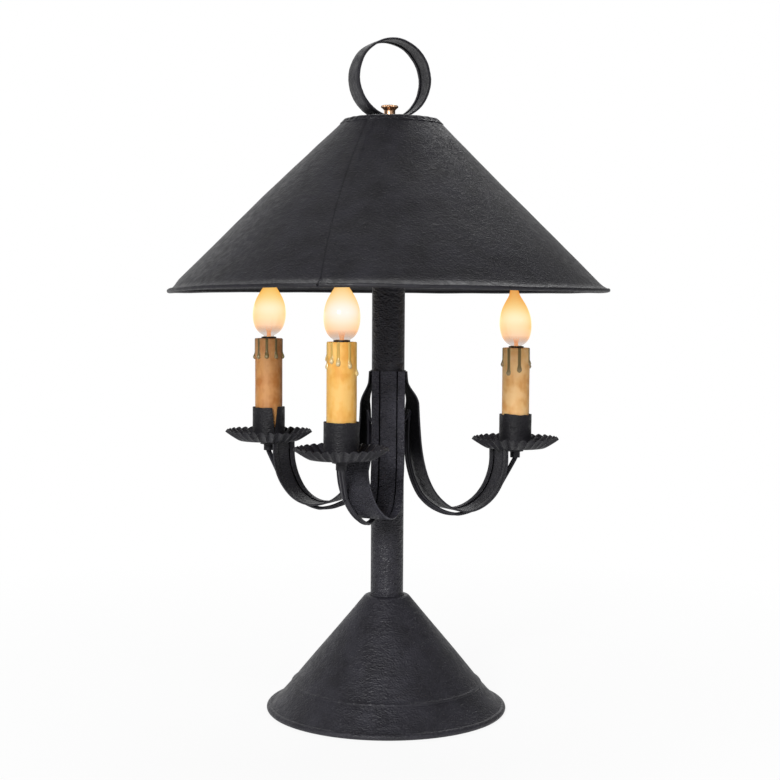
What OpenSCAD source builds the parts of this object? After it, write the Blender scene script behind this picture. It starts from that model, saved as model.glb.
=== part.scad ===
// Three-light table lamp in painted tinplate: a weighted cone base, a tube post,
// three hemmed strap arms with crimped drip pans and candle lights, and a cone shade
// clamped under a carrying ring by a knurled knob.
// The lamp stands on z = 0 with the post on the z axis and its front towards -y.
// Bearings in plan are in degrees from the front, positive towards +x.

/* [Sheet metal] */
// Thickness of the tinplate of base, shade and cap
tin_t = 0.6; // [0.4:0.1:1.0]
// Thickness of the strap metal of the arms
strap_t = 0.8; // [0.6:0.1:1.2]
// Width of an arm strap over its hems
strap_w = 31.75; // [26:0.25:36]
// Width of the hem folded onto each edge of a strap
hem_w = 7; // [4:0.5:9]

/* [Base] */
// Outer radius of the base over its rolled rim
base_r = 116.6; // [105:0.5:130]
// Height of the base cone's shoulder
base_h = 111.7; // [95:0.5:130]
// Radius of the base cone's shoulder
base_top_r = 21.8; // [20:0.2:28]
// Distance in from the base's edge to the swaged bead on the cone
bead_in = 24.6; // [20:0.2:34]
// Height of that bead above the table
bead_z = 27; // [20:0.5:34]
// Radius of the bead's own round
bead_r = 1.6; // [1.2:0.1:2.4]
// Distance in from the base's edge at which the foot of the cone starts to flare
base_flare_in = 13.6; // [13:0.2:17]
// Height at which the foot of the cone starts to flare
base_flare_z = 14.5; // [13:0.5:17]
// Radius of the rolled rim at the foot
base_roll_r = 3; // [2.4:0.1:3.6]
// Thickness of the felt under the base
felt_t = 2; // [1:0.5:3]
// Outer radius of the cast ring that weights the base
weight_r = 80; // [60:1:88]
// Height of that ring
weight_h = 16; // [10:1:20]
// Bore radius of the mains cord's bushing
bushing_bore_r = 3.6; // [3:0.1:4.2]

/* [Post] */
// Outer radius of the post tube
post_r = 15.875; // [14:0.125:18]
// Wall of the post tube
post_wall = 1.2; // [0.8:0.1:2]
// Height of the post's upper end
post_top = 548; // [500:1:556]
// Outer radius of the threaded pipe through the post
rod_r = 4.9; // [4.6:0.1:5.2]
// Height of each lead's hole through the post
lead_hole_z = 283; // [278:1:290]

/* [Arms] */
// Bearings at which the three straps are soldered to the post
strap_az = [1.5, 92, -92]; // [-180:1:180]
// Bearings of the three outer legs
leg_az = [-17.35, 102.7, -104.3]; // [-180:0.1:180]
// Distances of the outer legs from the post's axis
leg_r = [107.3, 113.2, 106.7]; // [90:0.1:125]
// Directions that the straps face high on the inner legs
upper_face = [-1, 119.7, -110.6]; // [-180:0.1:180]
// Directions that the straps face low on the inner legs
inner_face = [-2, 115.6, -111.5]; // [-180:0.1:180]
// Directions that the straps face at their lowest points
low_face = [-20, 122.6, -118.6]; // [-180:0.1:180]
// Directions that the outer legs face
leg_face = [-22, 120.8, -127.8]; // [-180:0.1:180]
// How late along the reach each strap veers to its leg, where 1 is evenly
veer = [2.15, 1.18, 1.41]; // [1:0.01:3]
// Heights of the lowest point of each strap
low_z = [196, 193.5, 199.1]; // [180:0.1:215]
// Share of the reach at which each strap is lowest
low_at = [0.58, 0.57, 0.58]; // [0.45:0.01:0.65]
// Heights of the three drip pans' undersides
pan_z = [257.5, 253.9, 259.4]; // [245:0.5:265]
// Height of the strap tops on the post
strap_top = 331; // [320:1:345]
// Distances by which the straps step off the post
strap_step = [4.1, 7.2, 5.5]; // [3.8:0.1:8]
// Shares of the reach by which the inner legs lean on outwards from there
inner_lean = [0.03, -0.03, -0.02]; // [-0.05:0.01:0.05]
// Fall from the strap tops over which the inner legs stay that straight
inner_fall = [95, 105, 110]; // [85:1:115]
// Distances from the outer legs to the middles of their pans
pan_reach = [24, 18.8, 19.2]; // [18:0.2:25]

/* [Drip pans] */
// Radius of a pan's rim at the middle of its flutes
pan_rim_r = 42.5; // [37:0.2:47]
// Radius of a pan's flat floor
pan_floor_r = 29.5; // [25:0.5:32]
// Height of a pan
pan_h = 9.5; // [8:0.5:12]
// Thickness of a pan's metal
pan_t = 0.5; // [0.4:0.1:0.8]
// Number of crimped flutes round a pan
flutes = 32; // [24:1:40]
// Depth of the flutes at the rim, to each side
flute_depth = 1.2; // [0.6:0.1:1.8]

/* [Candles] */
// Outer radius of a candle cup
cup_r = 16; // [15:0.1:18]
// Height of a candle cup
cup_h = 32.7; // [28:0.1:38]
// Thickness of a cup's metal
cup_t = 0.6; // [0.4:0.1:0.9]
// Bearings of the open splits in the three cups
split_az = [180, -49, 26]; // [-180:1:180]
// Widths of those splits at the top
split_w = [1.6, 1, 4]; // [0.6:0.1:5]
// Outer radius of a candle sleeve
sleeve_r = 13.5; // [12.6:0.1:14.4]
// Lengths of the three candle sleeves
sleeve_len = [103.2, 98, 100.3]; // [90:0.1:112]
// Outer radius of a lampholder
socket_r = 10.5; // [9.6:0.1:11]
// Height of a lampholder's insulating body
socket_h = 46; // [38:1:52]
// Height by which a lampholder stands above its sleeve
socket_proud = 1.5; // [0.5:0.1:3]
// Radius of a bulb's screw base
bulb_base_r = 5.95; // [5.8:0.05:6.1]
// Largest radius of a bulb
bulb_r = 15.9; // [14:0.1:17]
// Height of a bulb's glass
bulb_h = 68; // [60:1:74]

/* [Wiring] */
// Width of the two-core lead
lead_w = 5.8; // [5:0.1:6.4]
// Thickness of the two-core lead
lead_t = 3.1; // [2.6:0.1:3.3]
// Outer radius of the pipe nipple under each pan
nipple_r = 4.9; // [4.6:0.1:5.2]
// Length of that nipple
nipple_len = 19; // [17:0.5:22]
// Width over flats of the nipple's locknut
locknut_af = 14.3; // [13:0.1:16]
// Thickness of the nipple's locknut
locknut_t = 3; // [2.4:0.1:3.6]

/* [Shade] */
// Outer radius of the shade over its wired lip
shade_r = 212; // [195:1:225]
// Height of the shade's lip above the table
shade_lip_z = 409.2; // [400:0.5:420]
// Distance in from the shade's edge at which the lip flares off the cone
shade_flare_in = 7.4; // [6:0.2:20]
// Height at which the lip flares off the cone
shade_flare_z = 413.6; // [411:0.2:424]
// Radius of the wired roll on the lip
shade_roll_r = 1.9; // [1.5:0.1:2.4]
// Radius of the shade cone's upper edge
shade_top_r = 46; // [36:0.5:55]
// Height of the cap's top
cap_z = 572; // [566:0.5:580]
// Width of the cap's collar down the cone
collar_w = 7.5; // [5:0.5:12]
// Bearing of the shade's lap seam
seam_az = -16; // [-180:1:180]
// Width of the lap seam
seam_w = 8; // [5:0.5:12]

/* [Ring and knob] */
// Outer radius of the carrying ring
ring_r = 38.1; // [34:0.1:44]
// Width of the ring's strap
ring_w = 25.4; // [18:0.1:28]
// Thickness of the ring's strap
ring_t = 1.2; // [0.8:0.1:1.6]
// Bearing of the ring's axis
ring_az = 24; // [-90:1:90]
// Radius of the knob's knurled flange
knob_r = 8.5; // [7.5:0.1:10]
// Radius of the knob's waist
knob_waist_r = 5.9; // [5.6:0.1:6.6]
// Height of the knob
knob_h = 11.7; // [10:0.1:15]

/* [Clearances] */
// Radial clearance of a part that turns or slides on another
run_gap = 0.05; // [0.02:0.01:0.1]
// Radial clearance of a sleeve on its lampholder
slip_gap = 0.15; // [0.1:0.05:0.3]
// Film left where pieces are soldered or glued
solder_gap = 0.05; // [0.02:0.01:0.1]

/* [Hidden] */
$fn = 64;

FRONT = 0;
RIGHT = 1;
LEFT = 2;
tin_colour = "#2e2d30";
brass_colour = "#a8793c";
steel_colour = "#8c8c8c";
wax_colour = "#c8904f";

// Base: heights of what is stacked inside it
plate_z = felt_t;
dish_h = 6;
dish_r = 20;
dish_z = plate_z + dish_h;
rim_mid_r = base_r - base_roll_r;
rim_mid_z = base_roll_r + 0.4;
plate_r = rim_mid_r - base_roll_r - solder_gap;
bead_line_r = base_r - bead_in;
base_flare = [base_r - base_flare_in, base_flare_z];
foot = [rim_mid_r - 1.2, rim_mid_z + base_roll_r - 0.4];
lower_slope = atan2(base_flare[1] - foot[1], foot[0] - base_flare[0]);
bushing_at = (base_flare + foot) / 2;
bushing_body_r = bushing_bore_r + 0.9;
bushing_flange_r = bushing_bore_r + 2.2;
bushing_flange = 2.4;
bushing_grip = 2;
bushing_depth = tin_t + 0.4 + bushing_grip;

// Rod, nuts and washers
nut_h = 4;
nut_af = 14.3;
washer_t = 1.2;
washer_r = 9.5;
post_cap_t = 2;
lead_hole_r = 4.2;
rod_low = plate_z + 0.3;
ring_bottom = cap_z;
ring_in_r = ring_r - ring_t;
knob_washer_r = 7.5;
knob_washer_t = 1;
knob_washer_z = ring_bottom + ring_r - sqrt(pow(ring_in_r, 2) - pow(knob_washer_r, 2));
knob_z = knob_washer_z + knob_washer_t;
rod_high = knob_z + knob_h - 3.6;

// Candle stack, measured up from the underside of the drip pan
cup_floor = pan_t + cup_t;
function sleeve_top(i) = cup_floor + sleeve_len[i];
function socket_top(i) = sleeve_top(i) + socket_proud;
function socket_low(i) = socket_top(i) - socket_h;
leg_boss_r = 7;
leg_boss_h = 9;
shell_r = bulb_base_r + run_gap + 0.5;
shell_depth = 20;
socket_wall = 0.9;
bulb_base_h = 15;
bulb_neck_r = bulb_base_r - 0.05;
glass_t = 0.7;
nipple_low = -(strap_t + locknut_t + 6);
tab_w = strap_w - 2 * hem_w;
tab_past = 9;

// Curves of the straps
hem_t = 2 * strap_t + 0.2;
step_from = 8;
step_to = 31;
// Heights over the lowest point at which the bend pulls the outer leg, and at which that leg is straight
leg_pull = 21.5;
leg_straight = 52.5;
// Share of the reach over which the strap comes into its lowest point
low_run = [0.3, 0.27, 0.3];

function dir(az) = [sin(az), -cos(az), 0];
function across(az) = [cos(az), sin(az), 0];
function unit(v) = v / norm(v);
function bezier(p, t) =
  pow(1 - t, 3) * p[0] + 3 * pow(1 - t, 2) * t * p[1] + 3 * (1 - t) * t * t * p[2] + pow(t, 3) * p[3];
function bezier_run(p, n) = [for (k = [1 : n]) bezier(p, k / n)];
function turned(v, axis, a) =
  v * cos(a) + cross(axis, v) * sin(a) + axis * (axis * v) * (1 - cos(a));

// Outline of a sheet t thick that lies below and inside the line p, which runs outwards
function side(a, b) = [b[1] - a[1], a[0] - b[0]] / norm(b - a);
function corner(p, i) =
  let (a = side(p[max(i - 1, 0)], p[max(i, 1)]), b = side(p[min(i, len(p) - 2)], p[min(i + 1, len(p) - 1)]))
  (a + b) / (1 + a * b);
function sheet(p, t) = concat(p, [for (i = [len(p) - 1 : -1 : 0]) p[i] + t * corner(p, i)]);

// Line of the base cone from its shoulder to the bead, and on to the rim
bead_slope = atan2(base_h - bead_z, bead_line_r - base_top_r);
function bead_arc() =
  [for (a = [150 : -30 : 30]) [bead_line_r, bead_z] + bead_r * [cos(a - bead_slope), sin(a - bead_slope)]];
base_line = concat(
  [[post_r + solder_gap, base_h + 0.9], [base_top_r - 1.5, base_h + 0.9], [base_top_r, base_h]],
  bead_arc(),
  [base_flare, foot]
);

// Line of the shade from its top edge to its wired lip
shade_top_z = cap_z - tin_t - 0.4;
shade_flare_r = shade_r - shade_flare_in;
shade_slope = atan2(shade_top_z - shade_flare_z, shade_flare_r - shade_top_r);
shade_down = [cos(shade_slope), -sin(shade_slope)];
lip_mid_r = shade_r - shade_roll_r;
shade_line = [
  [shade_top_r, shade_top_z],
  [shade_flare_r, shade_flare_z],
  [lip_mid_r - 1, shade_lip_z + shade_roll_r - 0.3]
];

// A strap's centre line: up to down the post side, round the bend and up the outer leg
function strap_start(i) = (post_r + solder_gap) * dir(strap_az[i]);
function leg_foot(i) = leg_r[i] * dir(leg_az[i]);
function reach(i) = norm(leg_foot(i) - strap_start(i));
function side_view(i) =
  let (
    s = strap_step[i] / reach(i), top = strap_top, low = low_z[i], m = low_at[i],
    inner_pull = [s + inner_lean[i], top - inner_fall[i]]
  )
  concat(
    [[0, top], [0, top - step_from]],
    bezier_run([[0, top - step_from], [0, top - 17], [0.9 * s, top - 22], [s, top - step_to]], 4),
    bezier_run([[s, top - step_to], inner_pull, [m - low_run[i], low], [m, low]], 14),
    bezier_run([[m, low], [m + 0.22, low], [1, low + leg_pull], [1, low + leg_straight]], 12),
    [[1, pan_z[i] - 0.4 * strap_t]]
  );
BEND = 19;
LAST = 32;
function plan_point(i, u) =
  let (a = strap_start(i), ray = dir(strap_az[i]), whole = leg_foot(i) - a, along = whole * ray)
  a + u * along * ray + pow(max(u, 0.0001), veer[i]) * (whole - along * ray);
function strap_points(i) = [for (q = side_view(i)) plan_point(i, q[0]) + [0, 0, q[1]]];

// Way along a line of points to each of them
function way(p) =
  [for (k = 0, s = 0; k < len(p); k = k + 1, s = k < len(p) ? s + norm(p[k] - p[k - 1]) : s) s];
strap_way = [for (i = [FRONT, RIGHT, LEFT]) way(strap_points(i))];
function station_face(i, k) =
  let (w = strap_way[i], end = w[LAST], low = w[BEND])
  lookup(w[k], [
    [0.08 * end, strap_az[i]], [0.35 * low, upper_face[i]], [0.75 * low, inner_face[i]],
    [low, low_face[i]], [low + 0.6 * (end - low), leg_face[i]]
  ]);
function tangent(p, k) = unit(p[min(k + 1, len(p) - 1)] - p[max(k - 1, 0)]);

// A closed skin through rings of equally many points
module skin(rings) {
  n = len(rings[0]);
  m = len(rings);
  polyhedron(
    points = [for (r = rings) for (p = r) p],
    faces = concat(
      [[for (j = [0 : n - 1]) j]],
      [for (k = [0 : m - 2]) for (j = [0 : n - 1]) [k * n + j, (k + 1) * n + j, k * n + (j + 1) % n]],
      [for (k = [0 : m - 2]) for (j = [0 : n - 1])
        [k * n + (j + 1) % n, (k + 1) * n + j, (k + 1) * n + (j + 1) % n]],
      [[for (j = [n - 1 : -1 : 0]) (m - 1) * n + j]]
    ),
    convexity = 6
  );
}

// Places children on a bearing, at a distance from the z axis, turned to face a way
module at_bearing(az, r = 0, z = 0, face = 0) {
  translate(r * dir(az) + [0, 0, z]) rotate([0, 0, face]) children();
}

// Places children at the middle of a drip pan's underside
function pan_middle(i) = leg_foot(i) + pan_reach[i] * dir(leg_face[i]) + [0, 0, pan_z[i]];
module at_candle(i) {
  translate(pan_middle(i)) children();
}

module tube(r_out, r_in, z0, z1) {
  translate([0, 0, z0]) difference() {
    cylinder(r = r_out, h = z1 - z0);
    translate([0, 0, -1]) cylinder(r = r_in, h = z1 - z0 + 2);
  }
}

module hex_nut(across_flats, hole_r, h) {
  difference() {
    cylinder(r = across_flats / sqrt(3), h = h, $fn = 6);
    translate([0, 0, -1]) cylinder(r = hole_r, h = h + 2);
  }
}

/* ---- base ---- */
module at_bushing() {
  translate([0, bushing_at[0], bushing_at[1]]) rotate([-lower_slope, 0, 0]) children();
}

module base_cone() {
  color(tin_colour) difference() {
    union() {
      rotate_extrude($fn = 128) polygon(sheet(base_line, tin_t));
      rotate_extrude($fn = 128) translate([rim_mid_r, rim_mid_z]) difference() {
        circle(r = base_roll_r);
        circle(r = base_roll_r - tin_t);
      }
    }
    at_bushing() translate([0, 0, -6]) cylinder(r = bushing_body_r + 2 * solder_gap, h = 12);
  }
}

module base_rim_wire() {
  color(steel_colour) rotate_extrude($fn = 128)
    translate([rim_mid_r, rim_mid_z]) circle(r = base_roll_r - tin_t - solder_gap);
}

module base_plate() {
  color(tin_colour) rotate_extrude($fn = 128) polygon(sheet([
    [rod_r + run_gap, dish_z + tin_t], [dish_r, dish_z + tin_t], [dish_r + 4, plate_z + tin_t],
    [plate_r, plate_z + tin_t]
  ], tin_t));
}

module base_weight() {
  color("#4a4746") tube(weight_r, dish_r + 5, plate_z + tin_t, plate_z + tin_t + weight_h);
}

module felt_pad() {
  color("#2f4a35") cylinder(r = plate_r - 1.5, h = felt_t);
}

module cord_bushing() {
  color("#1d1d1d") at_bushing() difference() {
    union() {
      cylinder(r1 = bushing_flange_r, r2 = bushing_flange_r - 0.6, h = bushing_flange);
      translate([0, 0, -bushing_depth]) cylinder(r = bushing_body_r, h = bushing_depth + 0.2);
      translate([0, 0, -bushing_depth])
        cylinder(r1 = bushing_body_r, r2 = bushing_body_r + 0.7, h = bushing_grip);
    }
    translate([0, 0, -8]) cylinder(r = bushing_bore_r, h = 16);
  }
}

/* ---- post and rod ---- */
module post_tube() {
  color(tin_colour) difference() {
    tube(post_r, post_r - post_wall, dish_z + tin_t, post_top);
    for (i = [FRONT, RIGHT, LEFT])
      at_bearing(strap_az[i], 0, lead_hole_z, strap_az[i]) rotate([90, 0, 0])
        cylinder(r = lead_hole_r, h = post_r + 2);
  }
}

module post_cap() {
  color(tin_colour) difference() {
    union() {
      translate([0, 0, post_top]) cylinder(r = post_r + 0.8, h = post_cap_t);
      translate([0, 0, post_top - 4]) cylinder(r = post_r - post_wall - run_gap, h = 4.5);
    }
    translate([0, 0, post_top - 5]) cylinder(r = rod_r + run_gap, h = post_cap_t + 6);
  }
}

module centre_rod() {
  color(steel_colour) translate([0, 0, rod_low]) cylinder(r = rod_r, h = rod_high - rod_low);
}

seat_nut_z = cap_z - tin_t - washer_t - nut_h;
module rod_nuts() {
  for (z = [dish_z - washer_t - nut_h, post_top + post_cap_t, seat_nut_z])
    color(steel_colour) translate([0, 0, z]) hex_nut(nut_af, rod_r + run_gap, nut_h);
}

module rod_washers() {
  for (z = [dish_z - washer_t, cap_z - tin_t - washer_t])
    color(steel_colour) tube(washer_r, rod_r + run_gap, z, z + washer_t);
}

/* ---- arms ---- */
strap_section = [
  [-strap_w / 2, 0], [strap_w / 2, 0], [strap_w / 2, hem_t], [strap_w / 2 - hem_w, hem_t],
  [strap_w / 2 - hem_w, strap_t], [hem_w - strap_w / 2, strap_t], [hem_w - strap_w / 2, hem_t],
  [-strap_w / 2, hem_t]
];

module strap(i) {
  p = strap_points(i);
  skin([for (k = [0 : LAST])
    let (w = across(station_face(i, k)), n = unit(cross(tangent(p, k), w)))
    [for (q = strap_section) p[k] + q[0] * w + q[1] * n]]);
}

// The strap's end, cut back to its web and turned out under the pan
module strap_tab(i) {
  at_candle(i) rotate([0, 0, leg_face[i]]) translate([0, 0, -strap_t]) difference() {
    union() {
      translate([-tab_w / 2, 0, 0]) cube([tab_w, pan_reach[i] + 0.7 * strap_t, strap_t]);
      cylinder(r = tab_past, h = strap_t);
    }
    translate([0, 0, -1]) cylinder(r = nipple_r + run_gap, h = strap_t + 2);
  }
}

module arm(i) {
  color(tin_colour) union() {
    strap(i);
    strap_tab(i);
  }
}

/* ---- drip pans and cups ---- */
// Points round a pan at one level: r and z of the metal's middle, and how deep it is fluted there
function pan_ring(r, z, depth, lean) =
  [for (k = [0 : 4 * flutes - 1])
    let (a = k * 90 / flutes, w = depth * cos(flutes * a))
    [(r + w * cos(lean)) * cos(a), (r + w * cos(lean)) * sin(a), z - w * sin(lean)]];

module drip_pan(i) {
  run = pan_rim_r - pan_floor_r;
  lean = atan2(run, pan_h);
  up = pan_t * [-cos(lean), sin(lean)];
  levels = [[0.4, 0.4, 0.6], [1, 1, 1]];
  color(tin_colour) at_candle(i) difference() {
    skin(concat(
      [pan_ring(pan_floor_r, 0, 0, lean)],
      [for (v = levels) pan_ring(pan_floor_r + run * v[0], pan_h * v[1], flute_depth * v[2], lean)],
      [for (v = [levels[1], levels[0]])
        pan_ring(pan_floor_r + run * v[0] + up[0], pan_h * v[1] + up[1], flute_depth * v[2], lean)],
      [pan_ring(pan_floor_r + up[0], pan_t, 0, lean)]
    ));
    translate([0, 0, -1]) cylinder(r = nipple_r + run_gap, h = pan_t + 2);
  }
}

module candle_cup(i) {
  split_low = cup_h * 0.35;
  split_high = cup_h + 1;
  half = split_w[i] / 2;
  color(tin_colour) at_candle(i) translate([0, 0, pan_t]) difference() {
    cylinder(r = cup_r, h = cup_h);
    translate([0, 0, cup_t]) cylinder(r = cup_r - cup_t, h = cup_h);
    translate([0, 0, -1]) cylinder(r = nipple_r + run_gap, h = cup_t + 2);
    rotate([0, 0, split_az[i]]) rotate([90, 0, 0]) linear_extrude(height = cup_r + 2)
      polygon([[-0.3, split_low], [0.3, split_low], [half, split_high], [-half, split_high]]);
  }
}

module nipples() {
  for (i = [FRONT, RIGHT, LEFT])
    color(tin_colour) at_candle(i) tube(nipple_r, lead_w / 2 + 0.5, nipple_low, nipple_low + nipple_len);
}

module nipple_locknuts() {
  for (i = [FRONT, RIGHT, LEFT])
    color(tin_colour) at_candle(i) translate([0, 0, -strap_t - locknut_t])
      hex_nut(locknut_af, nipple_r + run_gap, locknut_t);
}

/* ---- lampholders, sleeves and bulbs ---- */
module socket_leg(i) {
  color(steel_colour) at_candle(i) {
    tube(leg_boss_r, nipple_r + run_gap, cup_floor, cup_floor + leg_boss_h);
    translate([-3, leg_boss_r - 1.5, cup_floor]) cube([6, 1.5, socket_low(i) - cup_floor]);
    translate([0, 0, socket_low(i) - 1.5]) intersection() {
      cylinder(r = leg_boss_r, h = 1.5);
      translate([-3, -4, 0]) cube([6, 14, 2]);
    }
  }
}

module socket_body(i) {
  color("#1c1a19") at_candle(i) translate([0, 0, socket_low(i)]) difference() {
    union() {
      cylinder(r = socket_r, h = socket_h - socket_proud - 0.5);
      cylinder(r = shell_r + solder_gap + socket_wall, h = socket_h);
    }
    translate([0, 0, socket_h - shell_depth - 1]) cylinder(r = shell_r + solder_gap, h = shell_depth + 2);
    translate([0, 0, -1]) cylinder(r = 2.2, h = socket_h);
  }
}

module screw_shell(i) {
  color(brass_colour) at_candle(i)
    tube(shell_r, bulb_base_r + run_gap, socket_top(i) - shell_depth - 0.5, socket_top(i) - 0.5);
}

// Wax runs: bearing on the sleeve, length and radius
drips = [
  [
    [-62, 19, 1.3], [-24, 25, 1.5], [12, 14, 1.2], [38, 23, 1.5],
    [80, 17, 1.3], [150, 21, 1.4], [-130, 24, 1.4]
  ],
  [
    [-70, 14, 1.3], [-32, 26, 1.6], [4, 22, 1.5], [52, 11, 1.6],
    [96, 20, 1.3], [170, 24, 1.4], [-120, 16, 1.3]
  ],
  [
    [-80, 15, 1.5], [-40, 24, 1.4], [-6, 21, 1.5], [36, 13, 1.4],
    [78, 22, 1.5], [140, 18, 1.4], [-150, 25, 1.4]
  ]
];

module wax_run(az, len, r) {
  rotate([0, 0, az]) translate([0, -(sleeve_r - 0.3 * r), -len]) {
    cylinder(r = 0.75 * r, h = len - 0.8, $fn = 24);
    sphere(r = r, $fn = 24);
  }
}

module candle_sleeve(i) {
  color(wax_colour) at_candle(i) difference() {
    union() {
      translate([0, 0, cup_floor]) cylinder(r = sleeve_r, h = sleeve_len[i]);
      for (d = drips[i]) translate([0, 0, sleeve_top(i)]) wax_run(d[0], d[1], d[2]);
    }
    translate([0, 0, cup_floor - 1]) cylinder(r = socket_r + slip_gap, h = sleeve_len[i] + 4);
  }
}

// A bulb's outline, from the neck up to the drawn-out tip, with its glass inside that line
function bulb_line(d) =
  let (
    neck = bulb_neck_r - d - 0.75, wide = bulb_r - d, shoulder = [6.8 - d, bulb_h - 19.5],
    tip = [1.5 - d, bulb_h]
  )
  concat(
    [[neck, -7], [neck, 0]],
    bezier_run([[neck, 0], [9.5 - d, 4], [wide, 10], [wide, 22]], 9),
    bezier_run([[wide, 22], [wide, 34], [10.5 - d, 42.5], shoulder], 7),
    bezier_run([shoulder, [4.6 - d, bulb_h - 15.8], [3.4 - d, bulb_h - 10], tip], 5)
  );

module at_bulb(i) {
  at_candle(i) translate([0, 0, socket_top(i) + 0.5]) children();
}

module bulb_glass(i) {
  outer = bulb_line(0);
  inner = bulb_line(glass_t);
  color([1, 0.86, 0.6, 0.6]) at_bulb(i) difference() {
    rotate_extrude() polygon(concat([[0, outer[0][1]]], outer, [[0, bulb_h]]));
    rotate_extrude() polygon(concat(
      [[0, inner[0][1] + 1.5]], [for (k = [1 : len(inner) - 2]) inner[k]], [[0, bulb_h - 5]]
    ));
  }
}

module bulb_base(i) {
  color(brass_colour) at_bulb(i) difference() {
    union() {
      translate([0, 0, -bulb_base_h]) cylinder(r = bulb_base_r, h = bulb_base_h - 0.2);
      translate([0, 0, -bulb_base_h - 2]) cylinder(r1 = 2.4, r2 = bulb_base_r - 0.6, h = 2);
    }
    translate([0, 0, -8.5]) cylinder(r = bulb_neck_r - 0.75 + solder_gap, h = 10);
  }
}

module filament(i) {
  post_x = 3.2;
  loop_z = 21;
  color("#f2a04a") at_bulb(i) {
    translate([0, 0, -3]) cylinder(r = 2, h = 9.5, $fn = 24);
    for (s = [-1, 1])
      translate([0, 0, 6]) rotate([0, s * 14, 0]) cylinder(r = 0.3, h = 15, $fn = 16);
    translate([0, 0, loop_z - 0.6]) rotate([90, 0, 0]) rotate_extrude(angle = 180)
      translate([post_x + 0.4, 0]) circle(r = 0.45, $fn = 16);
  }
}

/* ---- leads ---- */
// Sideways places of each lead on its strap at the outer leg, the bend and the inner leg
lead_side = [[-11, -10, -4], [-7.9, 1.6, 12.6], [7.9, -1.6, -12.6]];
// Turn of the flat lead about itself on the inner leg
lead_turn = [0, 74, -74];
// How far each lead hangs off its strap before the bend, at the bend and after it
lead_slack = [[1.4, 3.6, 2], [0.5, 2.8, 0.7], [0.5, 2.8, 0.7]];
lead_first = 5;
lead_last = 27;
function lead_offset(i, k) = lookup(k, [
  [lead_first, 0], [lead_first + 4, lead_side[i][2] * 0.7], [BEND - 6, lead_side[i][2]],
  [BEND, lead_side[i][1]], [lead_last, lead_side[i][0]]
]);
function lead_gap(i, k) = lookup(k, [
  [lead_first, 0.3], [BEND - 3, lead_slack[i][2]], [BEND, lead_slack[i][1]],
  [BEND + 3, lead_slack[i][0]], [lead_last, 0.3]
]);
function lead_on_strap(i) =
  let (p = strap_points(i))
  [for (k = [lead_last : -1 : lead_first])
    let (
      w = across(station_face(i, k)),
      n = unit(cross(tangent(p, k), w)),
      a = lookup(k, [[lead_first, 0], [BEND - 6, lead_turn[i]], [BEND, 0], [lead_last, 0]]),
      half = lead_t / 2 * abs(cos(a)) + lead_w / 2 * abs(sin(a))
    )
    [p[k] + lead_offset(i, k) * w - (half + lead_gap(i, k)) * n, station_face(i, k), a]];
function lead_stations(i) =
  let (
    top = pan_middle(i), f = leg_face[i], az = strap_az[i], hole = lead_hole_z,
    in_r = post_r - post_wall - 1 - lead_t / 2
  )
  concat(
    [for (z = [cup_floor + 4, nipple_low + 2, nipple_low - 1.5]) [top + [0, 0, z], f, 0]],
    lead_on_strap(i),
    [
      [(post_r + 1.2) * dir(az) + [0, 0, hole + 0.5], az, 0],
      [(post_r - 3) * dir(az) + [0, 0, hole - 1.5], az, 0],
      [in_r * dir(az) + [0, 0, hole - 8], az, 0],
      [in_r * dir(az) + [0, 0, hole - 30], az, 0],
      [in_r * dir(az) + [0, 0, dish_z + 20], az, 0]
    ]
  );
lead_section = [
  for (s = [1, -1]) for (q = [[0.5, 0], [0.37, 0.5], [0.13, 0.5], [0, 0.3], [-0.13, 0.5], [-0.37, 0.5]])
    [s * q[0] * lead_w, s * q[1] * lead_t]
];

module lead(i) {
  st = lead_stations(i);
  p = [for (s = st) s[0]];
  color(tin_colour) skin([for (k = [0 : len(st) - 1])
    let (
      t = tangent(p, k), w0 = across(st[k][1]),
      w = turned(unit(w0 - (w0 * t) * t), t, st[k][2]), n = cross(w, t)
    )
    [for (q = lead_section) p[k] + q[0] * w + q[1] * n]]);
}

/* ---- shade ---- */
// The sheet's lapped edge: a second layer of the cone, one seam wide
module lap_seam() {
  top = shade_line[0] + (collar_w + 1.5) * shade_down;
  low = shade_line[1];
  out = tin_t * [-shade_down[1], shade_down[0]];
  intersection() {
    rotate_extrude($fn = 128) polygon([top, low, low + out, top + out]);
    rotate([0, 0, seam_az]) translate([0, -shade_r, shade_lip_z])
      cube([seam_w, shade_r, cap_z - shade_lip_z]);
  }
}

module shade_cone() {
  color(tin_colour) union() {
    rotate_extrude($fn = 128) polygon(sheet(shade_line, tin_t));
    lap_seam();
    rotate_extrude($fn = 128) translate([lip_mid_r, shade_lip_z]) difference() {
      circle(r = shade_roll_r);
      circle(r = shade_roll_r - tin_t);
    }
  }
}

module shade_rim_wire() {
  color(steel_colour) rotate_extrude($fn = 128)
    translate([lip_mid_r, shade_lip_z]) circle(r = shade_roll_r - tin_t - solder_gap);
}

module shade_cap() {
  over = shade_line[0] + (tin_t + 3 * solder_gap) * [-shade_down[1], shade_down[0]];
  color(tin_colour) rotate_extrude($fn = 128) polygon(sheet([
    [rod_r + run_gap, cap_z], [over[0] - 1, cap_z], over + 0.3 * shade_down, over + collar_w * shade_down
  ], tin_t));
}

/* ---- ring and knob ---- */
module ring_hoop() {
  hem = 5;
  color(tin_colour) at_bearing(0, 0, ring_bottom + ring_r, ring_az) difference() {
    rotate([90, 0, 0]) difference() {
      translate([0, 0, -ring_w / 2]) cylinder(r = ring_r, h = ring_w, $fn = 128);
      translate([0, 0, -ring_w / 2 + hem]) cylinder(r = ring_in_r, h = ring_w - 2 * hem, $fn = 128);
      translate([0, 0, -ring_w / 2 - 1]) cylinder(r = ring_in_r - 0.6, h = ring_w + 2, $fn = 128);
    }
    translate([0, 0, -ring_r - 1]) cylinder(r = rod_r + run_gap, h = 6);
  }
}

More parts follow.
